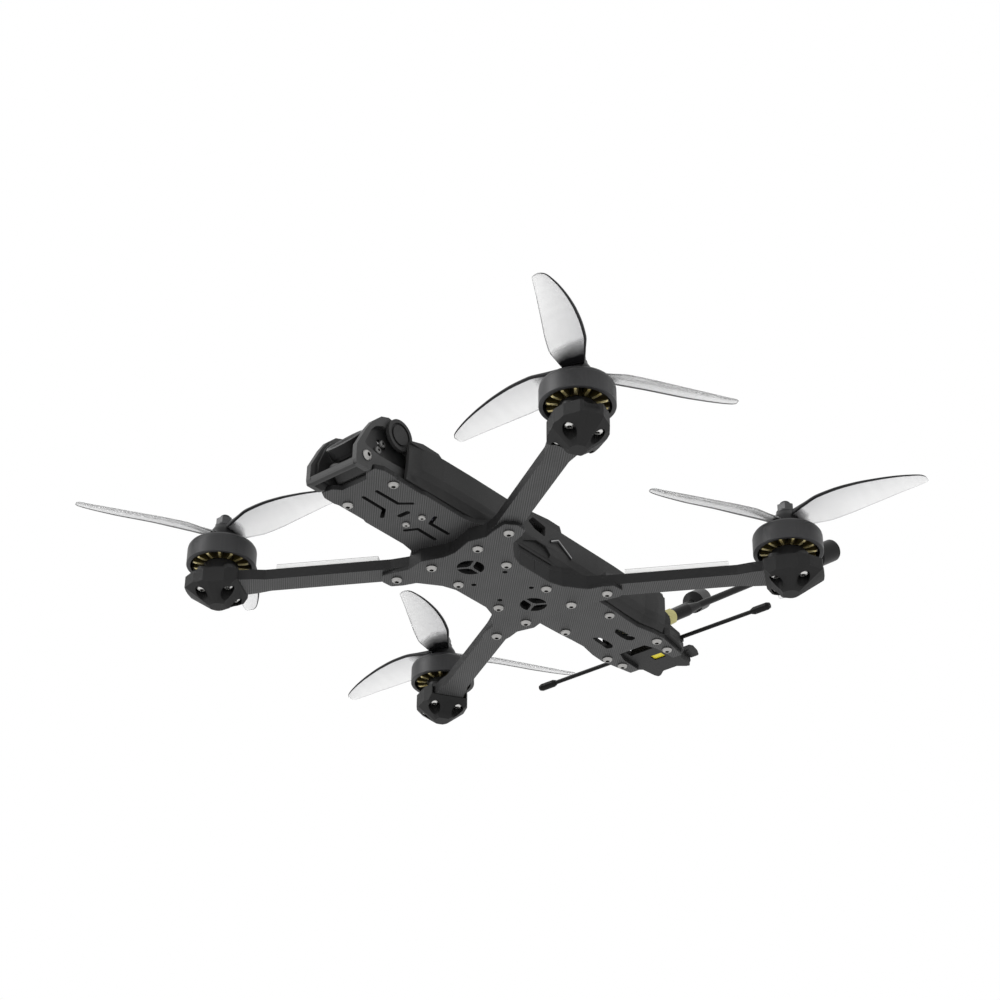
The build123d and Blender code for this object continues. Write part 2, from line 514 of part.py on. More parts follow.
# rounded lugs over the two rear prongs, wider above than below
for s in (1, -1):
    lug = yz_plate([(135.0, 11.0), (135.0, 17.2), (138.6, 18.4), (141.6, 16.8), (142.8, 12.6), (141.4, 10.1), (137.4, 10.1)],
                   7.6, 11.2, 0.6)
    cap = yz_plate([(135.0, 14.4), (135.6, 17.8), (139.4, 18.8), (143.2, 17.6), (144.4, 15.6), (143.4, 14.4)], 11.0, 15.4, 0.5)
    if s < 0:
        lug, cap = mirror(lug, Plane.YZ), mirror(cap, Plane.YZ)
    tail += lug + cap
# bed for the battery connector, open below through a slot
tail -= box(-9.0, 9.0, 110.6, 131.6, 10.7, 15.6)
tail -= box(-7.6, 7.6, 104.0, 114.8, 9.0, 30.0)
tail -= plate([(-0.4, 121.6), (7.0, 121.6), (6.8, 126.6), (-0.4, 126.6)], 9, 12, 0.6)
for x, y in TAIL_XY + PLATE_REAR_XY[1::2]:
    tail -= cyl(x, y, 9, 16.2, 1.6)
tail -= box(-24, 24, RX_Y - 1.35, RX_Y + 1.35, RX_Z - 1.35, RX_Z + 1.35)
# antenna sockets
adir = tuple(h - b for h, b in zip(ANT_HEAD, ANT_BASE))
alen = math.sqrt(sum(c * c for c in adir))
adir = tuple(c / alen for c in adir)


def ant_plane(s, d=0.0):
    return Plane(origin=(s * (ANT_BASE[0] + adir[0] * d), ANT_BASE[1] + adir[1] * d, ANT_BASE[2] + adir[2] * d),
                 x_dir=(adir[1], -s * adir[0], 0), z_dir=(s * adir[0], adir[1], adir[2]))


def rod(s, d0, d1, r):
    return ant_plane(s, d0) * (Pos(0, 0, (d1 - d0) / 2) * Cylinder(r, d1 - d0))


def cone(s, d0, d1, r0, r1):
    return ant_plane(s, d0) * (Pos(0, 0, (d1 - d0) / 2) * Cone(r0, r1, d1 - d0))


for s in (1, -1):
    tail += rod(s, -7.0, -1.2, 5.6)
    tail -= rod(s, -10.0, 0.0, 3.3)
    tail -= rod(s, -1.2, 9.0, 5.3)
tail = tail - box(-40, 40, 90, 106.0, 0, 60)
save(tail, "tail_mount")

sma = []
for s in (1, -1):
    j = rod(s, -6.8, 0.3, 3.2) + (ant_plane(s, 0.3) * extrude(RegularPolygon(8.0 / math.sqrt(3), 6), amount=5.6)) + rod(s, 5.9, 7.0, 3.6)
    sma.append(j)
save(solids_of(*sma), "sma_connectors")
for s, nm in ((1, "right"), (-1, "left")):
    a = rod(s, 7.05, 20.0, 3.3) + cone(s, 20.0, 30.0, 3.3, 1.9) + rod(s, 30.0, alen - 8.6, 1.9)
    a += cone(s, alen - 12.6, alen - 8.6, 2.2, 6.4) + rod(s, alen - 8.6, alen + 7.4, 6.5)
    a += cone(s, alen + 7.4, alen + 8.6, 6.5, 5.4)
    save(a, f"antenna_{nm}")

rx_tube = Location((0, RX_Y, RX_Z), (0, 90, 0)) * Cylinder(1.1, 2 * RX_HALF)
save(rx_tube, "receiver_antenna")
caps = []
for s in (1, -1):
    prof = [(0, 0), (1.4, 0), (2.0, 1.6), (2.0, 9.6), (1.5, 11.0), (0, 11.4)]
    c = revolve(make_face(Polyline(*[(a, 0, b) for a, b in prof], close=True)), Axis.Z)
    caps.append(Location((s * RX_HALF, RX_Y, RX_Z), (0, 90 * s, 0)) * c)
save(solids_of(*caps), "receiver_antenna_caps")

# ---- battery connector -----------------------------------------------------------------------------
bc = box(-8.0, 8.0, 115.2, 128.4, 10.8, 14.0)
bc = fillet(bc.edges().filter_by(Axis.Y), 1.2)
bc = bc + box(-6.2, 6.2, 128.4, 130.6, 11.1, 13.7)
save(bc, "battery_connector")

# ---- LED and wire covers on the arms --------------------------------------------------------------
covers = []
for name, (sx, sy) in CORNERS.items():
    bar = box(-80.5, -29.5, -2.8, 2.8, 7.5, 12.3)
    bar = fillet(bar.edges().filter_by(Axis.X).sort_by(Axis.Z)[-2:], 1.2)
    covers.append(arm_loc(sx, sy) * bar)
save(solids_of(*covers), "arm_covers")

# ---- motor guards -----------------------------------------------------------------------------------
g_half = [(-12.0, 10.0), (-6.0, 12.4), (4.6, 13.1), (10.2, 10.9), (16.2, 5.4), (16.6, 1.6)]
g_out = [(x, -y) for x, y in g_half] + [(x, y) for x, y in reversed(g_half)]


def lows_for(sides):
    """Height of the wall's lower edge on each side: high at the nose and at the arm, low at the inner corners."""
    out = []
    for ang, dist in sides:
        a = abs(ang)
        out.append(1.5 if a < 30 else 1.2 if a < 55 else 0.4 if a < 80 else -0.5 if a < 100 else -1.2 if a < 150 else 1.6)
    return out


def guard(sx, sy):
    """Printed guard round the motor pad; its underside is cut by one sloping facet per side down to a small sole."""
    body = plate(g_out, Z_FOOT, 7.4)
    body = fillet(body.edges().filter_by(Axis.Z), 0.8)
    pad = [(-20, -9.55), (4.0, -9.55), (9.1, -7.0), (12.2, -3.1), (12.2, 3.1), (9.1, 7.0), (4.0, 9.55), (-20, 9.55)]
    body -= plate(pad, Z_ARM0, 9.0)
    sides = []
    n = len(g_out)
    for k in range(n):
        (xa, ya), (xb, yb) = g_out[k], g_out[(k + 1) % n]
        mx, my = (xa + xb) / 2, (ya + yb) / 2
        nx, ny = yb - ya, -(xb - xa)
        ln = math.hypot(nx, ny)
        nx, ny = nx / ln, ny / ln
        if nx * mx + ny * my < 0:
            nx, ny = -nx, -ny
        sides.append((math.degrees(math.atan2(ny, nx)), nx * mx + ny * my))
    for (ang, dist), low in zip(sides, lows_for(sides)):
        sole = 4.0
        grad = (low - Z_FOOT) / (dist - sole)
        r0 = sole - 3.0 / grad
        tri = make_face(Polyline((r0, Z_FOOT - 3.0), (dist + 0.3, low + 0.3 * grad), (dist + 14, low + 0.3 * grad), (dist + 14, Z_FOOT - 3.0), close=True))
        cut = extrude(Plane(origin=(0, 30, 0), x_dir=(1, 0, 0), z_dir=(0, -1, 0)) * tri, amount=60)
        body -= Location((0, 0, 0), (0, 0, ang)) * cut
    # scalloped upper rim between the corners
    for a in (-58, 0, 58):
        r = math.radians(a)
        body -= cyl(19.6 * math.cos(r), 19.6 * math.sin(r), 3.9, 9, 5.2)
    g = body
    for k in range(4):
        an = math.radians(45 + 90 * k)
        x, y = SCREW_PCD_R * math.cos(an), SCREW_PCD_R * math.sin(an)
        g -= cyl(x, y, -12, 0.0, 3.2)
        g -= cyl(x, y, -12, 3, 1.6)
    g -= cyl(0, 0, -4.0, 3, 3.0)
    return arm_loc(sx, sy) * g


for name, (sx, sy) in CORNERS.items():
    save(guard(sx, sy), f"motor_guard_{name}")

mscrews = []
for name, (sx, sy) in CORNERS.items():
    for k in range(4):
        an = math.radians(45 + 90 * k)
        mscrews.append(arm_loc(sx, sy) * screw(SCREW_PCD_R * math.cos(an), SCREW_PCD_R * math.sin(an), 0.0, 9.4))
save(solids_of(*mscrews), "motor_screws")

# ---- motors: stationary half ------------------------------------------------------------------------
BASE_TUBE_R = 5.4


def motor_base():
    b = cyl(0, 0, Z_MAIN0 + 0.02, 10.4, 8.3) + cyl(0, 0, 10.4, 14.8, 8.2)
    for k in range(4):
        an = 45 + 90 * k
        b += Location((0, 0, 8.96), (0, 0, an)) * (Pos(SCREW_PCD_R / 2, 0, 0) * Box(SCREW_PCD_R, 6.4, 2.88))
        r = math.radians(an)
        b += cyl(SCREW_PCD_R * math.cos(r), SCREW_PCD_R * math.sin(r), Z_MAIN0 + 0.02, 10.4, 3.2)
    b += cyl(0, 0, 14.8, 23.4, BASE_TUBE_R)
    for k in range(4):
        r = math.radians(45 + 90 * k)
        b -= cyl(SCREW_PCD_R * math.cos(r), SCREW_PCD_R * math.sin(r), 7, 9.8, 1.52)
    b -= cyl(0, 0, 7, 24, 2.6)
    b -= cyl(0, 0, 7, 11.0, 4.02)
    b -= cyl(0, 0, 20.4, 24, 4.02)
    return b


def winding():
    w = cyl(0, 0, 15.2, 23.2, 8.2) - cyl(0, 0, 15, 24, BASE_TUBE_R + 0.02)
    for k in range(14):
        w += Location((0, 0, 19.4), (0, 0, 360 / 14 * k)) * (Pos(10.9, 0, -0.2) * Box(6.6, 2.2, 8.0))
    w &= cyl(0, 0, 15, 24, 14.5)
    return w


mb, mw = motor_base(), winding()
save(solids_of(*[arm_loc(sx, sy) * mb for sx, sy in CORNERS.values()]), "motor_bases")
save(solids_of(*[arm_loc(sx, sy) * mw for sx, sy in CORNERS.values()]), "motor_windings")
brg = []
for sx, sy in CORNERS.values():
    for z0 in (8.0, 20.4):
        ring = cyl(0, 0, z0, z0 + 3.0, 4.0) - cyl(0, 0, z0 - 1, z0 + 4, SHAFT_R + 0.03)
        brg.append(arm_loc(sx, sy) * ring)
save(solids_of(*brg), "motor_bearings")

# ---- motors: rotating half, propellers, nuts ---------------------------------------------------------
bell_prof = [(0, 7.6), (SHAFT_R - 0.3, 7.6), (SHAFT_R, 7.9), (SHAFT_R, 24.2), (14.2, 24.2), (15.3, 23.2), (15.3, BELL_Z0),
             (16.9, BELL_Z0), (BELL_R, BELL_Z0 + 0.35), (BELL_R, 23.0), (17.0, 24.2), (16.3, 25.3), (15.0, 26.1), (13.2, BELL_Z1),
             (8.4, BELL_Z1), (7.2, 27.6), (7.0, 29.3), (PROP_SHAFT_R, 29.3), (PROP_SHAFT_R, SHAFT_TOP - 0.5),
             (PROP_SHAFT_R - 0.5, SHAFT_TOP), (0, SHAFT_TOP)]
bell0 = revolve(make_face(Polyline(*[(a, 0, b) for a, b in bell_prof], close=True)), Axis.Z)
for k in range(7):
    a = 360 / 7 * k
    r = math.radians(a)
    bell0 -= Location((0, 0, 0), (0, 0, a)) * plate([(9.2, -1.6), (13.4, -2.6), (13.4, 2.6), (9.2, 1.6)], 23.5, 27.5, 0.6)

STATIONS = [6.0, 14.0, 22.0, 32.0, 42.0, 52.0, 62.0, 70.0, 74.4, PROP_R]
LE_V = [5.0, 7.0, 8.8, 9.2, 8.9, 8.0, 6.3, 4.2, 2.4, 0.6]
LE_Z = [34.4, 35.4, 36.3, 36.5, 36.0, 35.0, 33.9, 32.8, 32.1, 31.6]
TE_V = [-4.6, -6.4, -8.0, -7.6, -6.6, -5.6, -4.6, -3.9, -3.5, -2.4]
TE_Z = [31.0, 30.6, 30.6, 30.6, 30.7, 30.8, 30.9, 30.9, 31.0, 31.1]
THICK = [3.4, 2.4, 1.9, 1.7, 1.5, 1.35, 1.2, 1.0, 0.85, 0.7]


def blade(sign):
    """One blade along +X; sign = +1 has its leading edge on +Y."""
    wires = []
    for u, lv, lz, tv, tz, th in zip(STATIONS, LE_V, LE_Z, TE_V, TE_Z, THICK):
        pts = []
        top_pts, bot_pts = [], []
        for f in (0.0, 0.18, 0.45, 0.75, 1.0):
            v = lv + (tv - lv) * f
            z = lz + (tz - lz) * f
            camber = 0.08 * (lv - tv) * 4 * f * (1 - f)
            t = th * (0.30 + 0.70 * (1 - (2 * abs(f - 0.32) / 1.4) ** 2)) / 2 if 0 < f < 1 else 0.18 * th
            top_pts.append(Vector(u, sign * v, z + camber + t))
            bot_pts.append(Vector(u, sign * v, z + camber - t))
        loop = top_pts + bot_pts[::-1]
        wires.append(Wire.make_polygon(loop))
    return Solid.make_loft(wires, ruled=True)


BLADE0 = {"front_right": -63.7, "rear_left": -63.8, "front_left": 4.7, "rear_right": 4.0}
for name, (sx, sy) in CORNERS.items():
    cx, cy = sx * MOTOR_X, sy * MOTOR_Y
    save(Pos(cx, cy, 0) * bell0, f"motor_bell_{name}")
    sign = 1 if sx * sy < 0 else -1          # front right and rear left turn one way
    b = blade(sign)
    hub_prof = [(0, HUB_Z0), (HUB_R - 0.4, HUB_Z0), (HUB_R, HUB_Z0 + 1.0), (HUB_R - 0.3, 33.2), (5.6, 35.6), (4.9, HUB_Z1), (0, HUB_Z1)]
    prop = revolve(make_face(Polyline(*[(a, 0, b) for a, b in hub_prof], close=True)), Axis.Z)
    for k in range(3):
        prop = prop + Location((0, 0, 0), (0, 0, BLADE0[name] + 120 * k)) * b
    prop -= cyl(0, 0, 28, 40, PROP_SHAFT_R + 0.02)
    save(Pos(cx, cy, 0) * prop, f"propeller_{name}")
    nut = cyl(0, 0, 37.25, 38.1, 4.7) + Pos(0, 0, 38.1) * extrude(RegularPolygon(7.6 / math.sqrt(3), 6), amount=3.6)
    nut -= cyl(0, 0, 36, 44, PROP_SHAFT_R + 0.02)
    save(Pos(cx, cy, 0) * nut, f"prop_nut_{name}")
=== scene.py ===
import bpy, bmesh, json, math
from mathutils import Vector, Matrix, Quaternion, noise


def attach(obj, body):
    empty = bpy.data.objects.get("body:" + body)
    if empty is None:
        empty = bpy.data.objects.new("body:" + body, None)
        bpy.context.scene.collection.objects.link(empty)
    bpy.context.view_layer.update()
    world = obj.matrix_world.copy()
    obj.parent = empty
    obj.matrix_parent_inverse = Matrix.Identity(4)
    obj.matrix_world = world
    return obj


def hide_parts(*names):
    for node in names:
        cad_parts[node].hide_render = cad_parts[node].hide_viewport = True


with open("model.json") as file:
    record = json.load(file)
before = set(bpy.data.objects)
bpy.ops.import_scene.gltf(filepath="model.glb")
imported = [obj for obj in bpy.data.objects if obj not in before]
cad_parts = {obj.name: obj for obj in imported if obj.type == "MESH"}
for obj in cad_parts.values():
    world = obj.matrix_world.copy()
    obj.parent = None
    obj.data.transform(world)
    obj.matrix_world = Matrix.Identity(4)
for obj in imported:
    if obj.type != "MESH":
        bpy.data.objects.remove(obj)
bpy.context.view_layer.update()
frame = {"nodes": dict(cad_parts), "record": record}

N = frame["nodes"]
MM = 0.001
MOTOR_X, MOTOR_Y, ARM_DEG = 112.66, 83.40, 29.8
CORNERS = {"front_right": (1, -1), "front_left": (-1, -1), "rear_right": (1, 1), "rear_left": (-1, 1)}

# =====================================================================
# camera: the object is seen from below, nose to the left
# =====================================================================
cam_pos = Vector((0.59726, -0.70782, -0.51512))
fwd = Vector((-0.55177, 0.65160, 0.52054)).normalized()
right = fwd.cross(Vector((0, 0, 1))).normalized()
up = right.cross(fwd)
roll = math.radians(0.531)
r2 = right * math.cos(roll) + up * math.sin(roll)
u2 = -right * math.sin(roll) + up * math.cos(roll)
cam_data = bpy.data.cameras.new("camera")
cam_data.sensor_width = 36.0
cam_data.lens = 77.845
cam_data.clip_start, cam_data.clip_end = 0.05, 50
cam = bpy.data.objects.new("camera", cam_data)
bpy.context.scene.collection.objects.link(cam)
m = Matrix((r2, u2, -fwd)).transposed().to_4x4()
m.translation = cam_pos
cam.matrix_world = m
bpy.context.scene.camera = cam


# =====================================================================
# node helpers
# =====================================================================
class Mat:
    """A small builder for node materials: every value comes from procedural nodes."""

    def __init__(self, name):
        self.m = bpy.data.materials.new(name)
        self.m.use_nodes = True
        self.t = self.m.node_tree
        self.t.nodes.clear()
        self.out = self.t.nodes.new("ShaderNodeOutputMaterial")
        self.bsdf = self.t.nodes.new("ShaderNodeBsdfPrincipled")
        self.t.links.new(self.bsdf.outputs["BSDF"], self.out.inputs["Surface"])
        self.coord = None

    def node(self, kind, **props):
        n = self.t.nodes.new(kind)
        for k, v in props.items():
            setattr(n, k, v)
        return n

    def link(self, a, b):
        self.t.links.new(a, b)

    def obj(self):
        if self.coord is None:
            self.coord = self.node("ShaderNodeTexCoord")
        return self.coord.outputs["Object"]

    def put(self, sock, v):
        if hasattr(v, "is_output") or isinstance(v, bpy.types.NodeSocket):
            self.link(v, sock)
        elif isinstance(v, (tuple, list)) and len(v) == 3 and sock.type == "RGBA":
            sock.default_value = (*v, 1)
        else:
            sock.default_value = v

    def math(self, op, a, b=0.0, c=0.0, clamp=False):
        n = self.node("ShaderNodeMath", operation=op, use_clamp=clamp)
        self.put(n.inputs[0], a)
        self.put(n.inputs[1], b)
        self.put(n.inputs[2], c)
        return n.outputs[0]

    def vmath(self, op, a, b=(0, 0, 0)):
        n = self.node("ShaderNodeVectorMath", operation=op)
        self.put(n.inputs[0], a)
        if op == "SCALE":
            n.inputs["Scale"].default_value = b
        else:
            self.put(n.inputs[1], b)
        return n.outputs["Value"] if op in ("DOT_PRODUCT", "LENGTH", "DISTANCE") else n.outputs[0]

    def xyz(self, v):
        n = self.node("ShaderNodeSeparateXYZ")
        self.link(v, n.inputs[0])
        return n.outputs[0], n.outputs[1], n.outputs[2]

    def vec(self, x, y, z):
        n = self.node("ShaderNodeCombineXYZ")
        for i, v in enumerate((x, y, z)):
            self.put(n.inputs[i], v)
        return n.outputs[0]

    def noise(self, vec, scale, detail=3.0, rough=0.5, dist=0.0):
        n = self.node("ShaderNodeTexNoise")
        self.link(vec, n.inputs["Vector"])
        n.inputs["Scale"].default_value = scale
        n.inputs["Detail"].default_value = detail
        n.inputs["Roughness"].default_value = rough
        n.inputs["Distortion"].default_value = dist
        return n.outputs["Fac"]

    def range(self, v, a, b, c, d, clamp=True):
        n = self.node("ShaderNodeMapRange", clamp=clamp)
        self.put(n.inputs[0], v)
        for i, x in enumerate((a, b, c, d)):
            n.inputs[i + 1].default_value = x
        return n.outputs[0]

    def mix(self, f, a, b):
        n = self.node("ShaderNodeMix", data_type="RGBA")
        self.put(n.inputs[0], f)
        self.put(n.inputs[6], a)
        self.put(n.inputs[7], b)
        return n.outputs[2]

    def mixf(self, f, a, b):
        n = self.node("ShaderNodeMix", data_type="FLOAT")
        self.put(n.inputs[0], f)
        self.put(n.inputs[2], a)
        self.put(n.inputs[3], b)
        return n.outputs[0]

    def bump(self, h, strength=0.3, dist=0.0002, normal=None):
        n = self.node("ShaderNodeBump")
        n.inputs["Strength"].default_value = strength
        n.inputs["Distance"].default_value = dist
        self.link(h, n.inputs["Height"])
        if normal is not None:
            self.link(normal, n.inputs["Normal"])
        self.link(n.outputs[0], self.bsdf.inputs["Normal"])
        return n.outputs[0]

    def set(self, **kw):
        for k, v in kw.items():
            self.put(self.bsdf.inputs[k.replace("_", " ")], v)
        return self


# ambient-occlusion factor: the materials use it to paint shade into crevices and recesses
def ao_shade(mt, dist=0.0012, lo=0.35, hi=0.95):
    n = mt.node("ShaderNodeAmbientOcclusion", samples=8, only_local=False)
    n.inputs["Distance"].default_value = dist
    return mt.range(n.outputs["AO"], lo, hi, 0.0, 1.0)


def carbon(name, light=0.050, dark=0.009, angle=0.0):
    """Twill laminate in the XY plane; fine diagonal wales inside broad ones; cut edges get laminate lines and a dark
    colour, partly their own and partly painted shade on the side faces.
    """
    mt = Mat(name)
    o = mt.obj()
    x, y, z = mt.xyz(o)
    ca, sa = math.cos(math.radians(angle)), math.sin(math.radians(angle))

    def uv(tow):
        k = 1000.0 / tow
        return (mt.math("ADD", mt.math("MULTIPLY", x, ca * k), mt.math("MULTIPLY", y, sa * k)),
                mt.math("ADD", mt.math("MULTIPLY", x, -sa * k), mt.math("MULTIPLY", y, ca * k)))

    u, v = uv(0.37)
    wale = mt.math("SINE", mt.math("MULTIPLY", mt.math("ADD", u, v), math.pi / 2))
    cross = mt.math("SINE", mt.math("MULTIPLY", mt.math("SUBTRACT", u, v), math.pi / 2))
    # each tow is a rounded bar: its crown catches the light
    bu, bv = mt.math("SINE", mt.math("MULTIPLY", u, math.pi)), mt.math("SINE", mt.math("MULTIPLY", v, math.pi))
    crown = mt.math("MULTIPLY", mt.math("ABSOLUTE", bu), mt.math("ABSOLUTE", bv))
    # broad wales where the hatch turns into dots
    U, V = uv(2.05)
    wander = mt.noise(o, 26.0, 2.0, 0.5)
    broad = mt.math("SINE", mt.math("ADD", mt.math("MULTIPLY", mt.math("ADD", U, V), math.pi / 2), mt.math("MULTIPLY", wander, 5.0)))
    broad = mt.range(broad, -0.2, 0.5, 0.0, 1.0)
    hatch = mt.range(wale, -0.8, 0.9, 0.0, 1.0)
    dots = mt.range(mt.math("ADD", mt.math("MULTIPLY", wale, 0.55), mt.math("MULTIPLY", cross, 0.55)), -0.8, 0.9, 0.0, 1.0)
    f = mt.mixf(broad, dots, hatch)
    fil = mt.noise(mt.vec(mt.math("MULTIPLY", u, 2.2), mt.math("MULTIPLY", v, 0.3), 0.0), 1.0, 3.0, 0.65)
    f = mt.math("ADD", mt.math("MULTIPLY", f, 0.62), mt.math("MULTIPLY", crown, 0.26))
    f = mt.math("MULTIPLY", f, mt.range(fil, 0.3, 0.7, 0.80, 1.2))
    blotch = mt.noise(o, 52.0, 4.0, 0.55)
    f = mt.math("MULTIPLY", f, mt.range(blotch, 0.3, 0.7, 0.86, 1.14))
    face = mt.mix(mt.math("MINIMUM", f, 1.0), (dark, dark, dark * 1.02), (light, light, light * 1.01))
    nx, ny, nz = mt.xyz(mt.coord.outputs["Normal"])
    flat = mt.math("GREATER_THAN", mt.math("ABSOLUTE", nz), 0.7)
    lam = mt.math("SINE", mt.math("MULTIPLY", z, 2 * math.pi / 0.00025))
    lam_n = mt.noise(mt.vec(mt.math("MULTIPLY", x, 400.0), mt.math("MULTIPLY", y, 400.0), mt.math("MULTIPLY", z, 9000.0)), 1.0, 2.0)
    edge_f = mt.math("MULTIPLY", mt.range(lam, -1, 1, 0.75, 1.1), mt.range(lam_n, 0.3, 0.7, 0.7, 1.2))
    # partly painted shade: side faces (|normal z| <= 0.7) get this dark laminate colour, darker than the weave
    edge = mt.mix(edge_f, (0.0050, 0.0050, 0.0050), (0.0165, 0.0165, 0.0168))
    mt.put(mt.bsdf.inputs["Base Color"], mt.mix(flat, edge, face))
    mt.put(mt.bsdf.inputs["Roughness"], mt.mixf(flat, mt.range(lam_n, 0.3, 0.7, 0.5, 0.62), mt.range(fil, 0.3, 0.7, 0.36, 0.5)))
    mt.put(mt.bsdf.inputs["Specular IOR Level"], mt.mixf(flat, 0.18, mt.range(f, 0.1, 0.8, 0.28, 0.52)))
    height = mt.mixf(flat, mt.math("MULTIPLY", lam, 0.3), mt.math("ADD", mt.math("MULTIPLY", crown, 0.8), mt.math("ADD", mt.math("MULTIPLY", f, 0.4), mt.math("MULTIPLY", fil, 0.2))))
    mt.bump(height, 0.30, 0.00006)
    return mt.m


def printed(name, base=0.012, axis=2, pitch=0.00032, rough=0.6, spec=0.26, pit=False):
    """Matte printed elastomer with fine layer lines."""
    mt = Mat(name)
    o = mt.obj()
    c = mt.xyz(o)[axis]
    wob = mt.noise(o, 45.0, 2.0)
    line = mt.math("SINE", mt.math("ADD", mt.math("MULTIPLY", c, 2 * math.pi / pitch), mt.math("MULTIPLY", wob, 3.0)))
    grain = mt.noise(o, 2600.0, 4.0, 0.6)
    cloud = mt.noise(o, 38.0, 4.0, 0.55)
    geo = mt.node("ShaderNodeNewGeometry")
    wear = mt.range(geo.outputs["Pointiness"], 0.505, 0.56, 0.0, 1.0)
    f = mt.math("MULTIPLY", mt.range(cloud, 0.25, 0.75, 0.78, 1.2), mt.range(grain, 0.25, 0.75, 0.86, 1.14))
    f = mt.math("MULTIPLY", f, mt.range(line, -1, 1, 0.93, 1.07))
    col = mt.mix(mt.range(f, 0.65, 1.35, 0, 1), (base * 0.6,) * 3, (base * 1.45, base * 1.45, base * 1.46))
    col = mt.mix(mt.math("MULTIPLY", wear, 0.6), col, (base * 2.8,) * 3)
    # painted shade: the colour darkens to base * 0.35 where ambient occlusion finds crevices
    col = mt.mix(ao_shade(mt, 0.004, 0.2, 0.9), (base * 0.35,) * 3, col)
    if pit:
        # the connector's bed and the opening ahead of it lie in deep shade
        x, y, z = mt.xyz(o)
        inside = mt.math("MULTIPLY", mt.math("LESS_THAN", mt.math("ABSOLUTE", x), 0.0093),
                         mt.math("MULTIPLY", mt.math("LESS_THAN", y, 0.1318), mt.math("GREATER_THAN", z, 0.0102)))
        col = mt.mix(mt.math("MULTIPLY", inside, 0.85), col, (0.0008, 0.0008, 0.0008))
    mt.put(mt.bsdf.inputs["Base Color"], col)
    mt.put(mt.bsdf.inputs["Roughness"], mt.range(grain, 0.3, 0.7, rough - 0.08, rough + 0.1))
    h = mt.math("ADD", mt.math("MULTIPLY", line, 0.45), mt.math("MULTIPLY", grain, 0.9))
    mt.bump(h, 0.35, 0.00005)
    mt.bsdf.inputs["Specular IOR Level"].default_value = spec
    return mt.m


def metal(name, base, rough=0.3, metallic=1.0, wear_col=None, wear_amt=0.55, occl=0.0, spec=0.5):
    """Metal with fine turning or brushing marks, lighter worn edges and, when occl is set, painted shade in recesses.
    """
    mt = Mat(name)
    o = mt.obj()
    x, y, z = mt.xyz(o)
    streak = mt.noise(mt.vec(mt.math("MULTIPLY", x, 120.0), mt.math("MULTIPLY", y, 120.0), mt.math("MULTIPLY", z, 5200.0)), 1.0, 3.0, 0.6)
    grain = mt.noise(o, 1800.0, 3.0, 0.6)
    cloud = mt.noise(o, 90.0, 3.0)
    geo = mt.node("ShaderNodeNewGeometry")
    wear = mt.range(geo.outputs["Pointiness"], 0.51, 0.58, 0.0, 1.0)
    f = mt.math("MULTIPLY", mt.range(streak, 0.3, 0.7, 0.88, 1.1), mt.range(cloud, 0.3, 0.7, 0.88, 1.1))
    lo = tuple(c * 0.74 for c in base)
    hi = tuple(min(1.0, c * 1.2) for c in base)
    col = mt.mix(mt.range(f, 0.78, 1.2, 0, 1), lo, hi)
    col = mt.mix(mt.math("MULTIPLY", wear, wear_amt), col, wear_col or tuple(min(1.0, c * 1.5) for c in base))
    if occl:
        # painted shade: near-black where ambient occlusion finds recesses
        col = mt.mix(ao_shade(mt, occl, 0.45, 0.85), tuple(c * 0.03 for c in base), col)
    mt.put(mt.bsdf.inputs["Base Color"], col)
    mt.bsdf.inputs["Metallic"].default_value = metallic
    mt.bsdf.inputs["Specular IOR Level"].default_value = spec
    mt.put(mt.bsdf.inputs["Roughness"], mt.range(streak, 0.3, 0.7, max(0.05, rough - 0.07), rough + 0.09))
    mt.bump(mt.math("ADD", streak, mt.math("MULTIPLY", grain, 0.4)), 0.16, 0.00003)
    return mt.m


def plastic(name, base, rough=0.4, grain_scale=1500.0, bump=0.2, var=0.15, occl=0.0, **kw):
    mt = Mat(name)
    o = mt.obj()
    grain = mt.noise(o, grain_scale, 3.0, 0.6)
    cloud = mt.noise(o, 70.0, 4.0, 0.55)
    f = mt.math("MULTIPLY", mt.range(grain, 0.3, 0.7, 0.92, 1.08), mt.range(cloud, 0.3, 0.7, 0.88, 1.12))
    col = mt.mix(mt.range(f, 0.8, 1.2, 0, 1), tuple(c * (1 - var) for c in base), tuple(min(1.0, c * (1 + var)) for c in base))
    if occl:
        # painted shade: darker where ambient occlusion finds crevices
        col = mt.mix(ao_shade(mt, occl, 0.3, 0.9), tuple(c * 0.2 for c in base), col)
    mt.put(mt.bsdf.inputs["Base Color"], col)
    mt.put(mt.bsdf.inputs["Roughness"], mt.range(grain, 0.3, 0.7, max(0.03, rough - 0.05), rough + 0.07))
    mt.bump(grain, bump, 0.00004)
    for k, v in kw.items():
        mt.bsdf.inputs[k.replace("_", " ")].default_value = v
    return mt.m


def board_mat(name):
    """Black solder mask with faint copper traces and pads."""
    mt = Mat(name)
    o = mt.obj()
    x, y, z = mt.xyz(o)
    vor = mt.node("ShaderNodeTexVoronoi", feature="DISTANCE_TO_EDGE")
    mt.link(mt.vec(x, y, 0.0), vor.inputs["Vector"])
    vor.inputs["Scale"].default_value = 420.0
    trace = mt.range(vor.outputs["Distance"], 0.02, 0.06, 1.0, 0.0)
    cell = mt.noise(mt.vec(x, y, 0.0), 900.0, 1.0)
    pad = mt.range(cell, 0.66, 0.69, 0.0, 1.0)
    grain = mt.noise(o, 3000.0, 2.0)
    col = mt.mix(trace, (0.006, 0.0075, 0.0065), (0.016, 0.022, 0.018))
    col = mt.mix(mt.math("MULTIPLY", pad, 0.8), col, (0.55, 0.46, 0.26))
    mt.put(mt.bsdf.inputs["Base Color"], col)
    mt.put(mt.bsdf.inputs["Metallic"], mt.math("MULTIPLY", pad, 0.8))
    mt.put(mt.bsdf.inputs["Roughness"], mt.range(grain, 0.3, 0.7, 0.26, 0.4))
    mt.bump(mt.math("ADD", trace, pad), 0.25, 0.00004)
    return mt.m


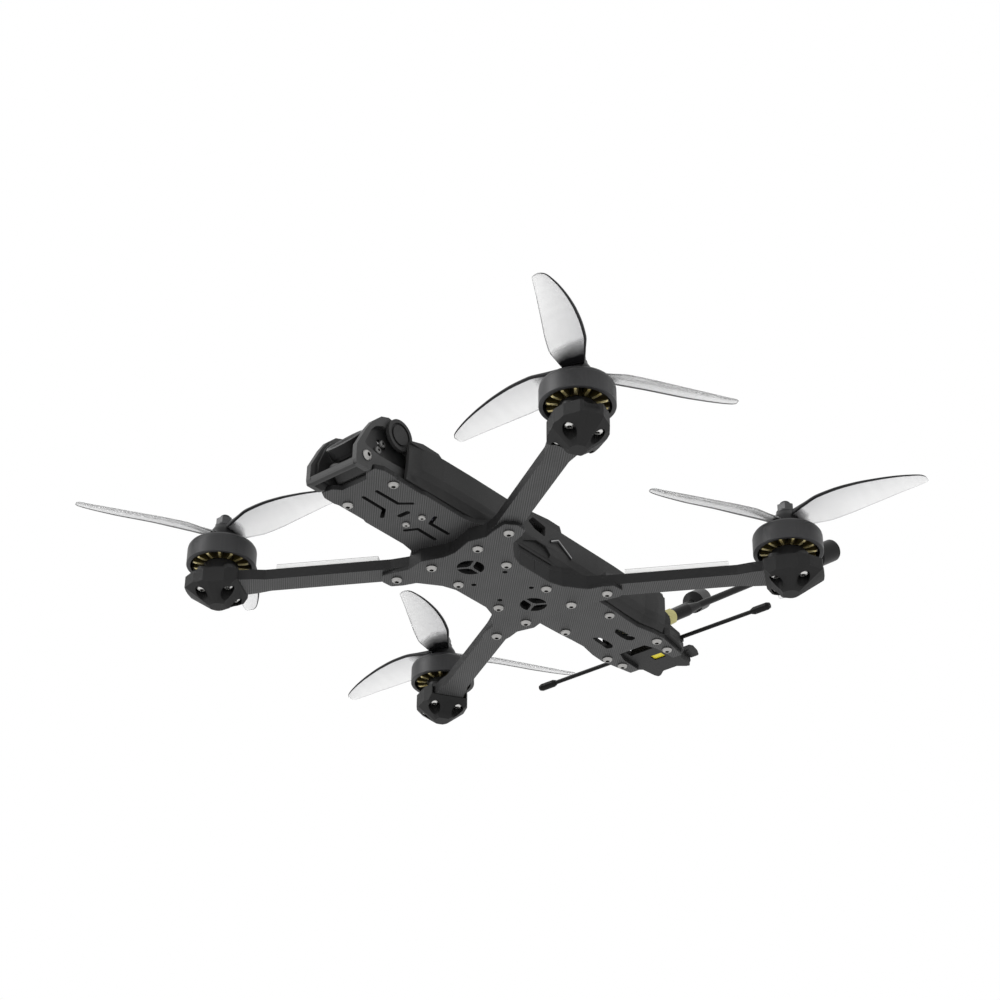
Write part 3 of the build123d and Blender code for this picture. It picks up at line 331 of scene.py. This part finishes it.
def connector_mat():
    """Yellow nylon housing; its front end is painted near-black as shade."""
    mt = Mat("connector_nylon")
    o = mt.obj()
    x, y, z = mt.xyz(o)
    grain = mt.noise(o, 1500.0, 3.0, 0.6)
    # painted shade: the front end, y below 120.5 mm, turns near-black
    front_shade = mt.range(y, 0.1204, 0.1207, 1.0, 0.0)
    yellow = mt.mix(mt.range(grain, 0.3, 0.7, 0, 1), (0.66, 0.55, 0.024), (0.80, 0.69, 0.035))
    black = mt.mix(mt.range(grain, 0.3, 0.7, 0, 1), (0.004, 0.004, 0.003), (0.012, 0.011, 0.008))
    mt.put(mt.bsdf.inputs["Base Color"], mt.mix(front_shade, yellow, black))
    mt.put(mt.bsdf.inputs["Roughness"], mt.range(grain, 0.3, 0.7, 0.32, 0.46))
    mt.bump(grain, 0.2, 0.00004)
    return mt.m


def cover_mat():
    """Clear wire cover: pale above with a faint painted glow, a greyer translucent foot."""
    mt = Mat("clear_cover")
    o = mt.obj()
    x, y, z = mt.xyz(o)
    g = mt.noise(o, 900.0, 3.0)
    t = mt.range(z, 0.0088, 0.0096, 0.0, 1.0)
    rim = mt.range(z, 0.0114, 0.0117, 0.0, 0.9)
    wires = mt.math("SINE", mt.math("MULTIPLY", z, 2 * math.pi / 0.0016))
    foot = mt.mix(mt.range(wires, -1, 1, 0, 1), (0.34, 0.34, 0.335), (0.48, 0.48, 0.47))
    body = mt.mix(rim, mt.mix(mt.range(g, 0.3, 0.7, 0, 1), (0.93, 0.93, 0.92), (0.97, 0.97, 0.96)), (0.30, 0.30, 0.30))
    mt.put(mt.bsdf.inputs["Base Color"], mt.mix(t, foot, body))
    mt.put(mt.bsdf.inputs["Roughness"], mt.range(g, 0.3, 0.7, 0.12, 0.24))
    mt.put(mt.bsdf.inputs["Transmission Weight"], mt.mixf(t, 0.05, 0.10))
    # painted glow: the pale body emits faintly, though it is no lamp
    mt.put(mt.bsdf.inputs["Emission Color"], (0.97, 0.98, 1.0))
    mt.put(mt.bsdf.inputs["Emission Strength"], mt.math("MULTIPLY", t, mt.mixf(rim, 0.08, 0.0)))
    mt.bump(g, 0.1, 0.00003)
    return mt.m


def coil_mat():
    """Lacquered copper turns seen as fine parallel wires."""
    mt = Mat("winding_turns")
    o = mt.obj()
    g = mt.noise(o, 2400.0, 3.0)
    c = mt.noise(o, 260.0, 3.0)
    col = mt.mix(mt.range(c, 0.35, 0.65, 0, 1), (0.42, 0.34, 0.13), (0.80, 0.70, 0.38))
    mt.put(mt.bsdf.inputs["Base Color"], col)
    mt.put(mt.bsdf.inputs["Roughness"], mt.range(g, 0.3, 0.7, 0.24, 0.4))
    mt.bsdf.inputs["Metallic"].default_value = 0.75
    mt.bump(g, 0.2, 0.00003)
    return mt.m


def blade_mat(name, cx, cy, r0=0.0125, r1=0.0235):
    """Smoke-clear moulded plastic: dark and solid at the root, clear further out, with lighter streaks painted in as
    glossy sheen.
    """
    mt = Mat(name)
    o = mt.obj()
    x, y, z = mt.xyz(o)
    dx = mt.math("SUBTRACT", x, cx)
    dy = mt.math("SUBTRACT", y, cy)
    r = mt.math("SQRT", mt.math("ADD", mt.math("MULTIPLY", dx, dx), mt.math("MULTIPLY", dy, dy)))
    fog = mt.noise(o, 190.0, 3.0, 0.55)
    rr = mt.math("ADD", r, mt.math("MULTIPLY", mt.math("SUBTRACT", fog, 0.5), 0.006))
    root = mt.range(rr, r0, r1, 1.0, 0.0)
    # painted reflection: lighter streaks in the tint stand in for glossy sheen; the same noise also drives a faint bump
    streak = mt.noise(mt.vec(mt.math("MULTIPLY", r, 240.0), mt.math("MULTIPLY", z, 120.0), 0.0), 1.0, 2.0, 0.5)
    grain = mt.noise(o, 700.0, 3.0)
    tint = mt.mix(mt.range(streak, 0.3, 0.7, 0, 1), (0.80, 0.80, 0.81), (0.93, 0.93, 0.935))
    tint = mt.mix(mt.range(r, 0.02, 0.06, 0.0, 1.0), (0.80, 0.80, 0.81), tint)
    chord = mt.node("ShaderNodeAttribute", attribute_name="chord").outputs["Fac"]
    shade = mt.math("MULTIPLY", mt.range(chord, 0.0, 0.85, 1.0, 0.0), mt.range(r, 0.03, 0.074, 1.0, 0.45))
    tint = mt.mix(shade, mt.mix(mt.range(streak, 0.3, 0.7, 0, 1), (0.91, 0.91, 0.91), (0.95, 0.95, 0.95)), mt.mix(0.6, tint, (0.62, 0.62, 0.63)))
    mt.put(mt.bsdf.inputs["Base Color"], mt.mix(root, tint, (0.012, 0.012, 0.013)))
    mt.put(mt.bsdf.inputs["Transmission Weight"], mt.math("MULTIPLY", mt.math("SUBTRACT", 1.0, root), 0.86))
    mt.put(mt.bsdf.inputs["Roughness"], mt.range(grain, 0.3, 0.7, 0.10, 0.2))
    mt.bsdf.inputs["IOR"].default_value = 1.34
    mt.bump(mt.math("ADD", streak, mt.math("MULTIPLY", grain, 0.3)), 0.05, 0.00004)
    return mt.m


LENS_C = (0.0, -0.1118, 0.0262)
LENS_AX = (0.0, -math.cos(math.radians(42.0)), math.sin(math.radians(42.0)))


def lens_mat():
    """Black barrel with knurl-fine turning lines and a lighter front rim."""
    mt = Mat("lens_anodised")
    o = mt.obj()
    d = mt.vmath("DOT_PRODUCT", mt.vmath("SUBTRACT", o, LENS_C), LENS_AX)
    ring = mt.math("SINE", mt.math("MULTIPLY", d, 2 * math.pi / 0.00045))
    grain = mt.noise(o, 1500.0, 3.0, 0.6)
    body = mt.mix(mt.range(mt.math("ADD", ring, grain), -0.4, 1.4, 0, 1), (0.003, 0.003, 0.003), (0.009, 0.009, 0.0095))
    rim = mt.range(d, 0.00245, 0.00262, 0.0, 1.0)
    light = mt.mix(mt.range(grain, 0.3, 0.7, 0, 1), (0.16, 0.16, 0.16), (0.26, 0.26, 0.26))
    # the funnel inside the barrel is a satin grey
    rel = mt.vmath("LENGTH", mt.vmath("SUBTRACT", o, LENS_C))
    rad = mt.math("SQRT", mt.math("MAXIMUM", mt.math("SUBTRACT", mt.math("MULTIPLY", rel, rel), mt.math("MULTIPLY", d, d)), 0.0))
    bowl = mt.math("MULTIPLY", mt.math("LESS_THAN", rad, 0.00905), mt.math("GREATER_THAN", d, -0.0017))
    body = mt.mix(bowl, body, mt.mix(mt.range(grain, 0.3, 0.7, 0, 1), (0.11, 0.11, 0.11), (0.18, 0.18, 0.18)))
    mt.put(mt.bsdf.inputs["Base Color"], mt.mix(rim, body, light))
    mt.put(mt.bsdf.inputs["Metallic"], mt.math("MULTIPLY", rim, 0.7))
    mt.put(mt.bsdf.inputs["Roughness"], mt.range(grain, 0.3, 0.7, 0.34, 0.5))
    mt.bsdf.inputs["Specular IOR Level"].default_value = 0.2
    mt.bump(ring, 0.2, 0.00004)
    return mt.m


M = {
    "carbon": carbon("carbon_twill", 0.062, 0.007),
    "shell": printed("printed_elastomer"),
    # darker copy of the same elastomer for the guards: painted shade
    "shell_guard_shaded": printed("printed_elastomer_guard_shaded", 0.0065, 2, 0.00032, 0.55, 0.2),
    "shell_tail": printed("printed_elastomer_tail", 0.011, 2, 0.00032, 0.6, 0.24, pit=True),
    "shell_cage": printed("printed_elastomer_cage", 0.022, 1, 0.00034, 0.6, 0.34),
    "steel": metal("zinc_steel", (0.37, 0.365, 0.355), 0.40, wear_col=(0.62, 0.61, 0.60), wear_amt=0.4, occl=0.0014),
    "nut_black": metal("nut_anodised", (0.055, 0.055, 0.056), 0.38, metallic=0.5, wear_col=(0.12, 0.12, 0.12), wear_amt=0.15, spec=0.3),
    "steel_bright": metal("zinc_steel_bright", (0.62, 0.615, 0.60), 0.34, wear_amt=0.4, occl=0.0011),
    "bell": metal("bell_anodised", (0.014, 0.014, 0.0148), 0.44, metallic=0.2, wear_col=(0.06, 0.06, 0.062), spec=0.34),
    "base": metal("base_anodised", (0.012, 0.012, 0.0125), 0.5, metallic=0.2, wear_col=(0.04, 0.04, 0.04), spec=0.3),
    "copper": plastic("stator_lacquer", (0.040, 0.030, 0.006), 0.45, 2500.0, 0.3, 0.3, occl=0.002, Metallic=0.1),
    "coil": coil_mat(),
    "bearing": metal("bearing_steel", (0.7, 0.7, 0.7), 0.2),
    "hub": plastic("hub_plastic", (0.012, 0.012, 0.0125), 0.40, 900.0, 0.3, 0.3, Specular_IOR_Level=0.2),
    "blade_edge": plastic("blade_edge_smoke", (0.012, 0.012, 0.013), 0.3, 500.0, 0.05, 0.2, Specular_IOR_Level=0.2),
    "blade_tail": plastic("blade_trailing_smoke", (0.78, 0.78, 0.79), 0.2, 500.0, 0.05, 0.12, Transmission_Weight=0.75),
    "standoff": metal("standoff_anodised", (0.05, 0.05, 0.05), 0.35),
    "pad": plastic("pad_rubber", (0.016, 0.016, 0.016), 0.8, 1100.0, 0.6, 0.25),
    "cover": cover_mat(),
    "board": board_mat("solder_mask"),
    "sink": metal("heatsink_anodised", (0.05, 0.05, 0.05), 0.4),
    "button": plastic("button_white", (0.7, 0.7, 0.66), 0.4),
    "cap": plastic("capacitor_sleeve", (0.02, 0.02, 0.05), 0.3),
    "grommet": plastic("grommet_rubber", (0.03, 0.03, 0.03), 0.7),
    "cheek": metal("cheek_anodised", (0.007, 0.007, 0.0072), 0.42, metallic=0.1, wear_col=(0.03, 0.03, 0.03), spec=0.3),
    "camera": plastic("camera_plastic", (0.010, 0.010, 0.010), 0.5, 1300.0, 0.3, 0.2),
    "lens": lens_mat(),
    "rim": metal("lens_rim", (0.30, 0.30, 0.30), 0.32, metallic=0.9),
    "glass": plastic("lens_coating", (0.006, 0.007, 0.012), 0.06, 200.0, 0.0, 0.2, Coat_Weight=0.5),
    "gold": metal("gold_plating", (0.44, 0.41, 0.185), 0.34, occl=0.001),
    "antenna": plastic("antenna_plastic", (0.008, 0.008, 0.008), 0.36, 1600.0, 0.15, 0.2, Specular_IOR_Level=0.11),
    "connector": connector_mat(),
    "screw_dull": metal("camera_screw_steel", (0.17, 0.17, 0.168), 0.45, wear_amt=0.3, occl=0.0011),
}
SLOT = {
    "carbon": "carbon", "soft_shell": "shell", "screw_steel": "steel", "nut_steel": "steel", "nut_black": "nut_black",
    "bell_metal": "bell", "base_metal": "base", "copper": "copper", "bearing": "bearing", "blade_plastic": "hub",
    "standoff_metal": "standoff", "pad_rubber": "pad", "clear_cover": "cover", "board": "board", "heatsink": "sink",
    "button": "button", "capacitor": "cap", "grommet": "grommet", "camera_plate": "cheek", "camera_body": "camera",
    "lens_barrel": "lens", "lens_glass": "glass", "gold": "gold", "antenna_plastic": "antenna", "antenna_tube": "antenna",
    "connector": "connector",
}
OVERRIDE = {"camera_cage": "shell_cage", "camera_screws": "screw_dull", "lock_nuts": "nut_black", "motor_screws": "steel_bright",
            "tail_mount": "shell_tail"}
for _c in CORNERS:
    OVERRIDE["motor_guard_" + _c] = "shell_guard_shaded"
for sp in frame["record"]["subparts"]:
    ob = N[sp["node"]]
    mat = M[OVERRIDE.get(sp["node"], SLOT[sp["material_slot"]])]
    for i in range(max(1, len(ob.material_slots))):
        if not ob.material_slots:
            ob.data.materials.append(mat)
        else:
            ob.material_slots[i].material = mat


def bevel(node, width, segs=2, angle=38.0):
    b = N[node].modifiers.new("soft_edges", "BEVEL")
    b.width = width * MM
    b.segments = segs
    b.limit_method = "ANGLE"
    b.angle_limit = math.radians(angle)
    b.use_clamp_overlap = True


for nm, w in (("main_plate", 0.22), ("belly_plate", 0.22), ("top_plate", 0.2), ("camera_cage", 0.45), ("tail_mount", 0.4),
              ("side_panel_left", 0.35), ("side_panel_right", 0.35), ("camera_plate_left", 0.2), ("camera_plate_right", 0.2),
              ("battery_connector", 0.25), ("bumper_discs", 0.3), ("arm_covers", 0.3), ("receiver_antenna_caps", 0.3),
              ("lock_nuts", 0.15), ("sma_connectors", 0.2)):
    bevel(nm, w)
for c in CORNERS:
    bevel(f"arm_{c}", 0.25)
    bevel(f"motor_guard_{c}", 0.45)
    bevel(f"prop_nut_{c}", 0.2)
    bevel(f"motor_bell_{c}", 0.15, 2, 50.0)

# =====================================================================
# propellers: smooth lofted blades on a coned hub
# =====================================================================
PROP_R = 76.0
STA = [6.0, 14.0, 22.0, 32.0, 42.0, 52.0, 62.0, 70.0, 74.4, 76.0]
LE_V = [5.0, 7.0, 8.8, 9.2, 8.9, 8.0, 6.3, 4.2, 2.4, 0.6]
LE_Z = [34.4, 35.4, 36.3, 36.5, 36.0, 35.0, 33.9, 32.8, 32.1, 31.6]
TE_V = [-4.6, -6.4, -8.0, -7.6, -6.6, -5.6, -4.6, -3.9, -3.5, -2.4]
TE_Z = [31.0, 30.6, 30.6, 30.6, 30.7, 30.8, 30.9, 30.9, 31.0, 31.1]
THK = [3.2, 2.2, 1.7, 1.45, 1.25, 1.1, 0.95, 0.8, 0.65, 0.5]
BLADE0 = {"front_right": -63.7, "rear_left": -63.8, "front_left": 4.7, "rear_right": 4.0}
HUB = [(2.52, 29.42), (6.6, 29.42), (7.0, 29.7), (7.18, 30.4), (7.1, 31.4), (6.9, 33.1), (6.3, 34.5), (5.6, 35.6), (5.05, 36.6),
       (4.75, 37.1), (4.5, 37.2), (2.52, 37.2)]


def curve_at(xs, ys, x):
    """Smooth monotone-ish cubic through the table."""
    n = len(xs)
    k = max(0, min(n - 2, next((i for i in range(n - 1) if x <= xs[i + 1]), n - 2)))
    def slope(i):
        if i == 0:
            return (ys[1] - ys[0]) / (xs[1] - xs[0])
        if i == n - 1:
            return (ys[-1] - ys[-2]) / (xs[-1] - xs[-2])
        a = (ys[i] - ys[i - 1]) / (xs[i] - xs[i - 1])
        b = (ys[i + 1] - ys[i]) / (xs[i + 1] - xs[i])
        return 0.0 if a * b < 0 else (a * b * 2 / (a + b) if abs(a + b) > 1e-9 else 0.0)
    h = xs[k + 1] - xs[k]
    t = (x - xs[k]) / h
    m0, m1 = slope(k) * h, slope(k + 1) * h
    t2, t3 = t * t, t * t * t
    return (2 * t3 - 3 * t2 + 1) * ys[k] + (t3 - 2 * t2 + t) * m0 + (-2 * t3 + 3 * t2) * ys[k + 1] + (t3 - t2) * m1


CHORD = [0.0, 0.012, 0.034, 0.075, 0.13, 0.20, 0.28, 0.37, 0.47, 0.58, 0.69, 0.79, 0.88, 0.945, 0.982, 1.0]
U_ST = [6.0 + 0.0 * k for k in range(1)] + [6.0 + (73.0 - 6.0) * k / 34 for k in range(1, 35)] + [73.9, 74.7, 75.2, 75.6, 75.88]


def section(u, sign):
    lv, lz, tv, tz, th = (curve_at(STA, T, u) for T in (LE_V, LE_Z, TE_V, TE_Z, THK))
    top, bot = [], []
    for f in CHORD:
        v = lv + (tv - lv) * f
        z = lz + (tz - lz) * f
        camber = 0.08 * (lv - tv) * 4 * f * (1 - f)
        shape = math.sqrt(max(0.0, 1 - (1 - min(1.0, f / 0.10)) ** 2)) * (1.0 - 0.72 * max(0.0, (f - 0.25) / 0.75) ** 1.2)
        if f >= 0.999:
            shape = 0.12
        t = th * 0.5 * shape
        top.append((u, sign * v, z + camber + t))
        bot.append((u, sign * v, z + camber - t))
    return top + bot[::-1]


def propeller(name, sx, sy):
    sign = 1 if sx * sy < 0 else -1
    cx, cy = sx * MOTOR_X, sy * MOTOR_Y
    bm = bmesh.new()
    chord = bm.verts.layers.float.new("chord")
    for k in range(3):
        a = math.radians(BLADE0[name] + 120 * k)
        ca, sa = math.cos(a), math.sin(a)
        rings = []
        for u in U_ST:
            ring = [bm.verts.new(((cx + p[0] * ca - p[1] * sa) * MM, (cy + p[0] * sa + p[1] * ca) * MM, p[2] * MM))
                    for p in section(u, sign)]
            for v, f in zip(ring, CHORD + CHORD[::-1]):
                v[chord] = f
            rings.append(ring)
        n = len(rings[0])
        nc = len(CHORD)
        for i in range(len(rings) - 1):
            for j in range(n):
                j2 = (j + 1) % n
                if j == nc - 1 or j == n - 1:
                    pass
                f = bm.faces.new((rings[i][j], rings[i + 1][j], rings[i + 1][j2], rings[i][j2]))
                f.smooth = True
                seg = j if j < nc else n - 1 - j          # chordwise strip, 0 at the leading edge
                lead = (j <= 2) or (j >= n - 4)
                trail = nc - 2 <= j <= nc
                f.material_index = 1 if lead else 2 if trail else 0
        bm.faces.new(rings[0]).material_index = 3
        bm.faces.new(list(reversed(rings[-1]))).material_index = 2
    # hub of revolution
    seg = 64
    cols = []
    for k in range(seg):
        a = 2 * math.pi * k / seg
        cols.append([bm.verts.new(((cx + r * math.cos(a)) * MM, (cy + r * math.sin(a)) * MM, z * MM)) for r, z in HUB])
    for k in range(seg):
        a, b = cols[k], cols[(k + 1) % seg]
        for i in range(len(HUB)):
            j = (i + 1) % len(HUB)
            f = bm.faces.new((a[i], b[i], b[j], a[j]))
            f.smooth = 0 < i < len(HUB) - 2
            f.material_index = 3
    bmesh.ops.recalc_face_normals(bm, faces=bm.faces)
    me = bpy.data.meshes.new("propeller_blades_" + name)
    bm.to_mesh(me)
    bm.free()
    ob = bpy.data.objects.new("propeller_blades_" + name, me)
    bpy.context.scene.collection.objects.link(ob)
    root = (0.0125, 0.0225) if sx * sy < 0 else (0.0065, 0.0125)
    for mt in (blade_mat("blade_smoke_" + name, cx * MM, cy * MM, *root), M["blade_edge"], M["blade_tail"], M["hub"]):
        me.materials.append(mt)
    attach(ob, "rotor_" + name)
    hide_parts("propeller_" + name)
    return ob


for nm, (sx, sy) in CORNERS.items():
    propeller(nm, sx, sy)

# =====================================================================
# windings: wire turns laid over each stator tooth
# =====================================================================
def tube(bm, path, r, sides=6):
    """Round wire along a list of points, closed at both ends."""
    rings = []
    for i, p in enumerate(path):
        a = path[max(0, i - 1)]
        b = path[min(len(path) - 1, i + 1)]
        t = (b - a).normalized()
        s = t.cross(Vector((0.31, 0.17, 0.93))).normalized()
        w = t.cross(s)
        rings.append([bm.verts.new((p + (s * math.cos(2 * math.pi * k / sides) + w * math.sin(2 * math.pi * k / sides)) * r) * MM)
                      for k in range(sides)])
    for i in range(len(rings) - 1):
        for k in range(sides):
            f = bm.faces.new((rings[i][k], rings[i][(k + 1) % sides], rings[i + 1][(k + 1) % sides], rings[i + 1][k]))
            f.smooth = True
    bm.faces.new(list(reversed(rings[0])))
    bm.faces.new(rings[-1])


def coils():
    bm = bmesh.new()
    for nm, (sx, sy) in CORNERS.items():
        cx, cy = sx * MOTOR_X, sy * MOTOR_Y
        base = math.atan2(sy * math.sin(math.radians(ARM_DEG)), sx * math.cos(math.radians(ARM_DEG)))
        for k in range(14):
            a = base + 2 * math.pi * k / 14
            e = Vector((math.cos(a), math.sin(a), 0))
            n = Vector((-e.y, e.x, 0))
            c = Vector((cx, cy, 0))
            for off in (-0.42, 0.0, 0.42):
                z0 = 15.0 - (0.12 if off == 0 else 0.0)
                pts = [c + e * 8.35 + n * off + Vector((0, 0, 17.0)), c + e * 8.45 + n * off + Vector((0, 0, 15.5)),
                       c + e * 8.9 + n * off + Vector((0, 0, z0)), c + e * 11.0 + n * off + Vector((0, 0, z0 - 0.06)),
                       c + e * 13.3 + n * off + Vector((0, 0, z0)), c + e * 14.0 + n * off + Vector((0, 0, 15.5)),
                       c + e * 14.15 + n * off + Vector((0, 0, 17.0))]
                tube(bm, pts, 0.21)
    bmesh.ops.recalc_face_normals(bm, faces=bm.faces)
    me = bpy.data.meshes.new("winding_turns")
    bm.to_mesh(me)
    bm.free()
    ob = bpy.data.objects.new("winding_turns", me)
    bpy.context.scene.collection.objects.link(ob)
    me.materials.append(M["coil"])
    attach(ob, "frame")


coils()

# =====================================================================
# chevron edges: a pale strip on the upper edge of the relief on each side panel, a painted highlight
# =====================================================================
def chevrons():
    top = [(8.7, 21.1), (14.5, 24.2), (25.2, 18.6)]
    low = [(8.9, 20.6), (14.45, 23.7), (25.0, 18.1)]
    bm = bmesh.new()
    for s in (1, -1):
        for i in range(2):
            quad = [top[i], top[i + 1], low[i + 1], low[i]]
            near = [bm.verts.new((s * 23.5 * MM, y * MM, z * MM)) for y, z in quad]
            far = [bm.verts.new((s * 23.68 * MM, y * MM, z * MM)) for y, z in quad]
            bm.faces.new(near)
            bm.faces.new(far)
            for k in range(4):
                bm.faces.new((near[k], near[(k + 1) % 4], far[(k + 1) % 4], far[k]))
    bmesh.ops.recalc_face_normals(bm, faces=bm.faces)
    me = bpy.data.meshes.new("chevron_edges")
    bm.to_mesh(me)
    bm.free()
    ob = bpy.data.objects.new("chevron_edges", me)
    bpy.context.scene.collection.objects.link(ob)
    # painted highlight: a pale strip standing for the light caught by the relief's upper edge
    me.materials.append(printed("chevron_painted_highlight", 0.16, 2, 0.0003, 0.55, 0.3))
    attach(ob, "frame")


chevrons()

# =====================================================================
# stage: pale floor well below the low camera, soft studio light
# =====================================================================
me = bpy.data.meshes.new("floor")
bm = bmesh.new()
bmesh.ops.create_grid(bm, x_segments=4, y_segments=4, size=6.0)
bm.to_mesh(me)
bm.free()
floor = bpy.data.objects.new("floor", me)
floor.location = (0, 0, -1.05)
bpy.context.scene.collection.objects.link(floor)
ft = Mat("floor_white")
ft.set(Base_Color=ft.mix(ft.range(ft.noise(ft.obj(), 3.0), 0.3, 0.7, 0, 1), (0.872, 0.872, 0.872), (0.88, 0.88, 0.88)), Roughness=0.9)
floor.data.materials.append(ft.m)

world = bpy.data.worlds.new("studio")
world.use_nodes = True
bg = world.node_tree.nodes["Background"]
bg.inputs[0].default_value = (1, 1, 1, 1)
bg.inputs[1].default_value = 1.0
bpy.context.scene.world = world
bpy.context.scene.view_settings.view_transform = "Standard"


def area(name, pos, target, size, watts):
    d = bpy.data.lights.new(name, "AREA")
    d.size, d.energy = size, watts
    o = bpy.data.objects.new(name, d)
    o.location = pos
    o.rotation_mode = "QUATERNION"
    o.rotation_quaternion = (Vector(target) - Vector(pos)).to_track_quat("-Z", "Y")
    bpy.context.scene.collection.objects.link(o)
    return o


area("key", (-0.9, -1.3, 0.9), (0, 0, 0.02), 0.9, 14)
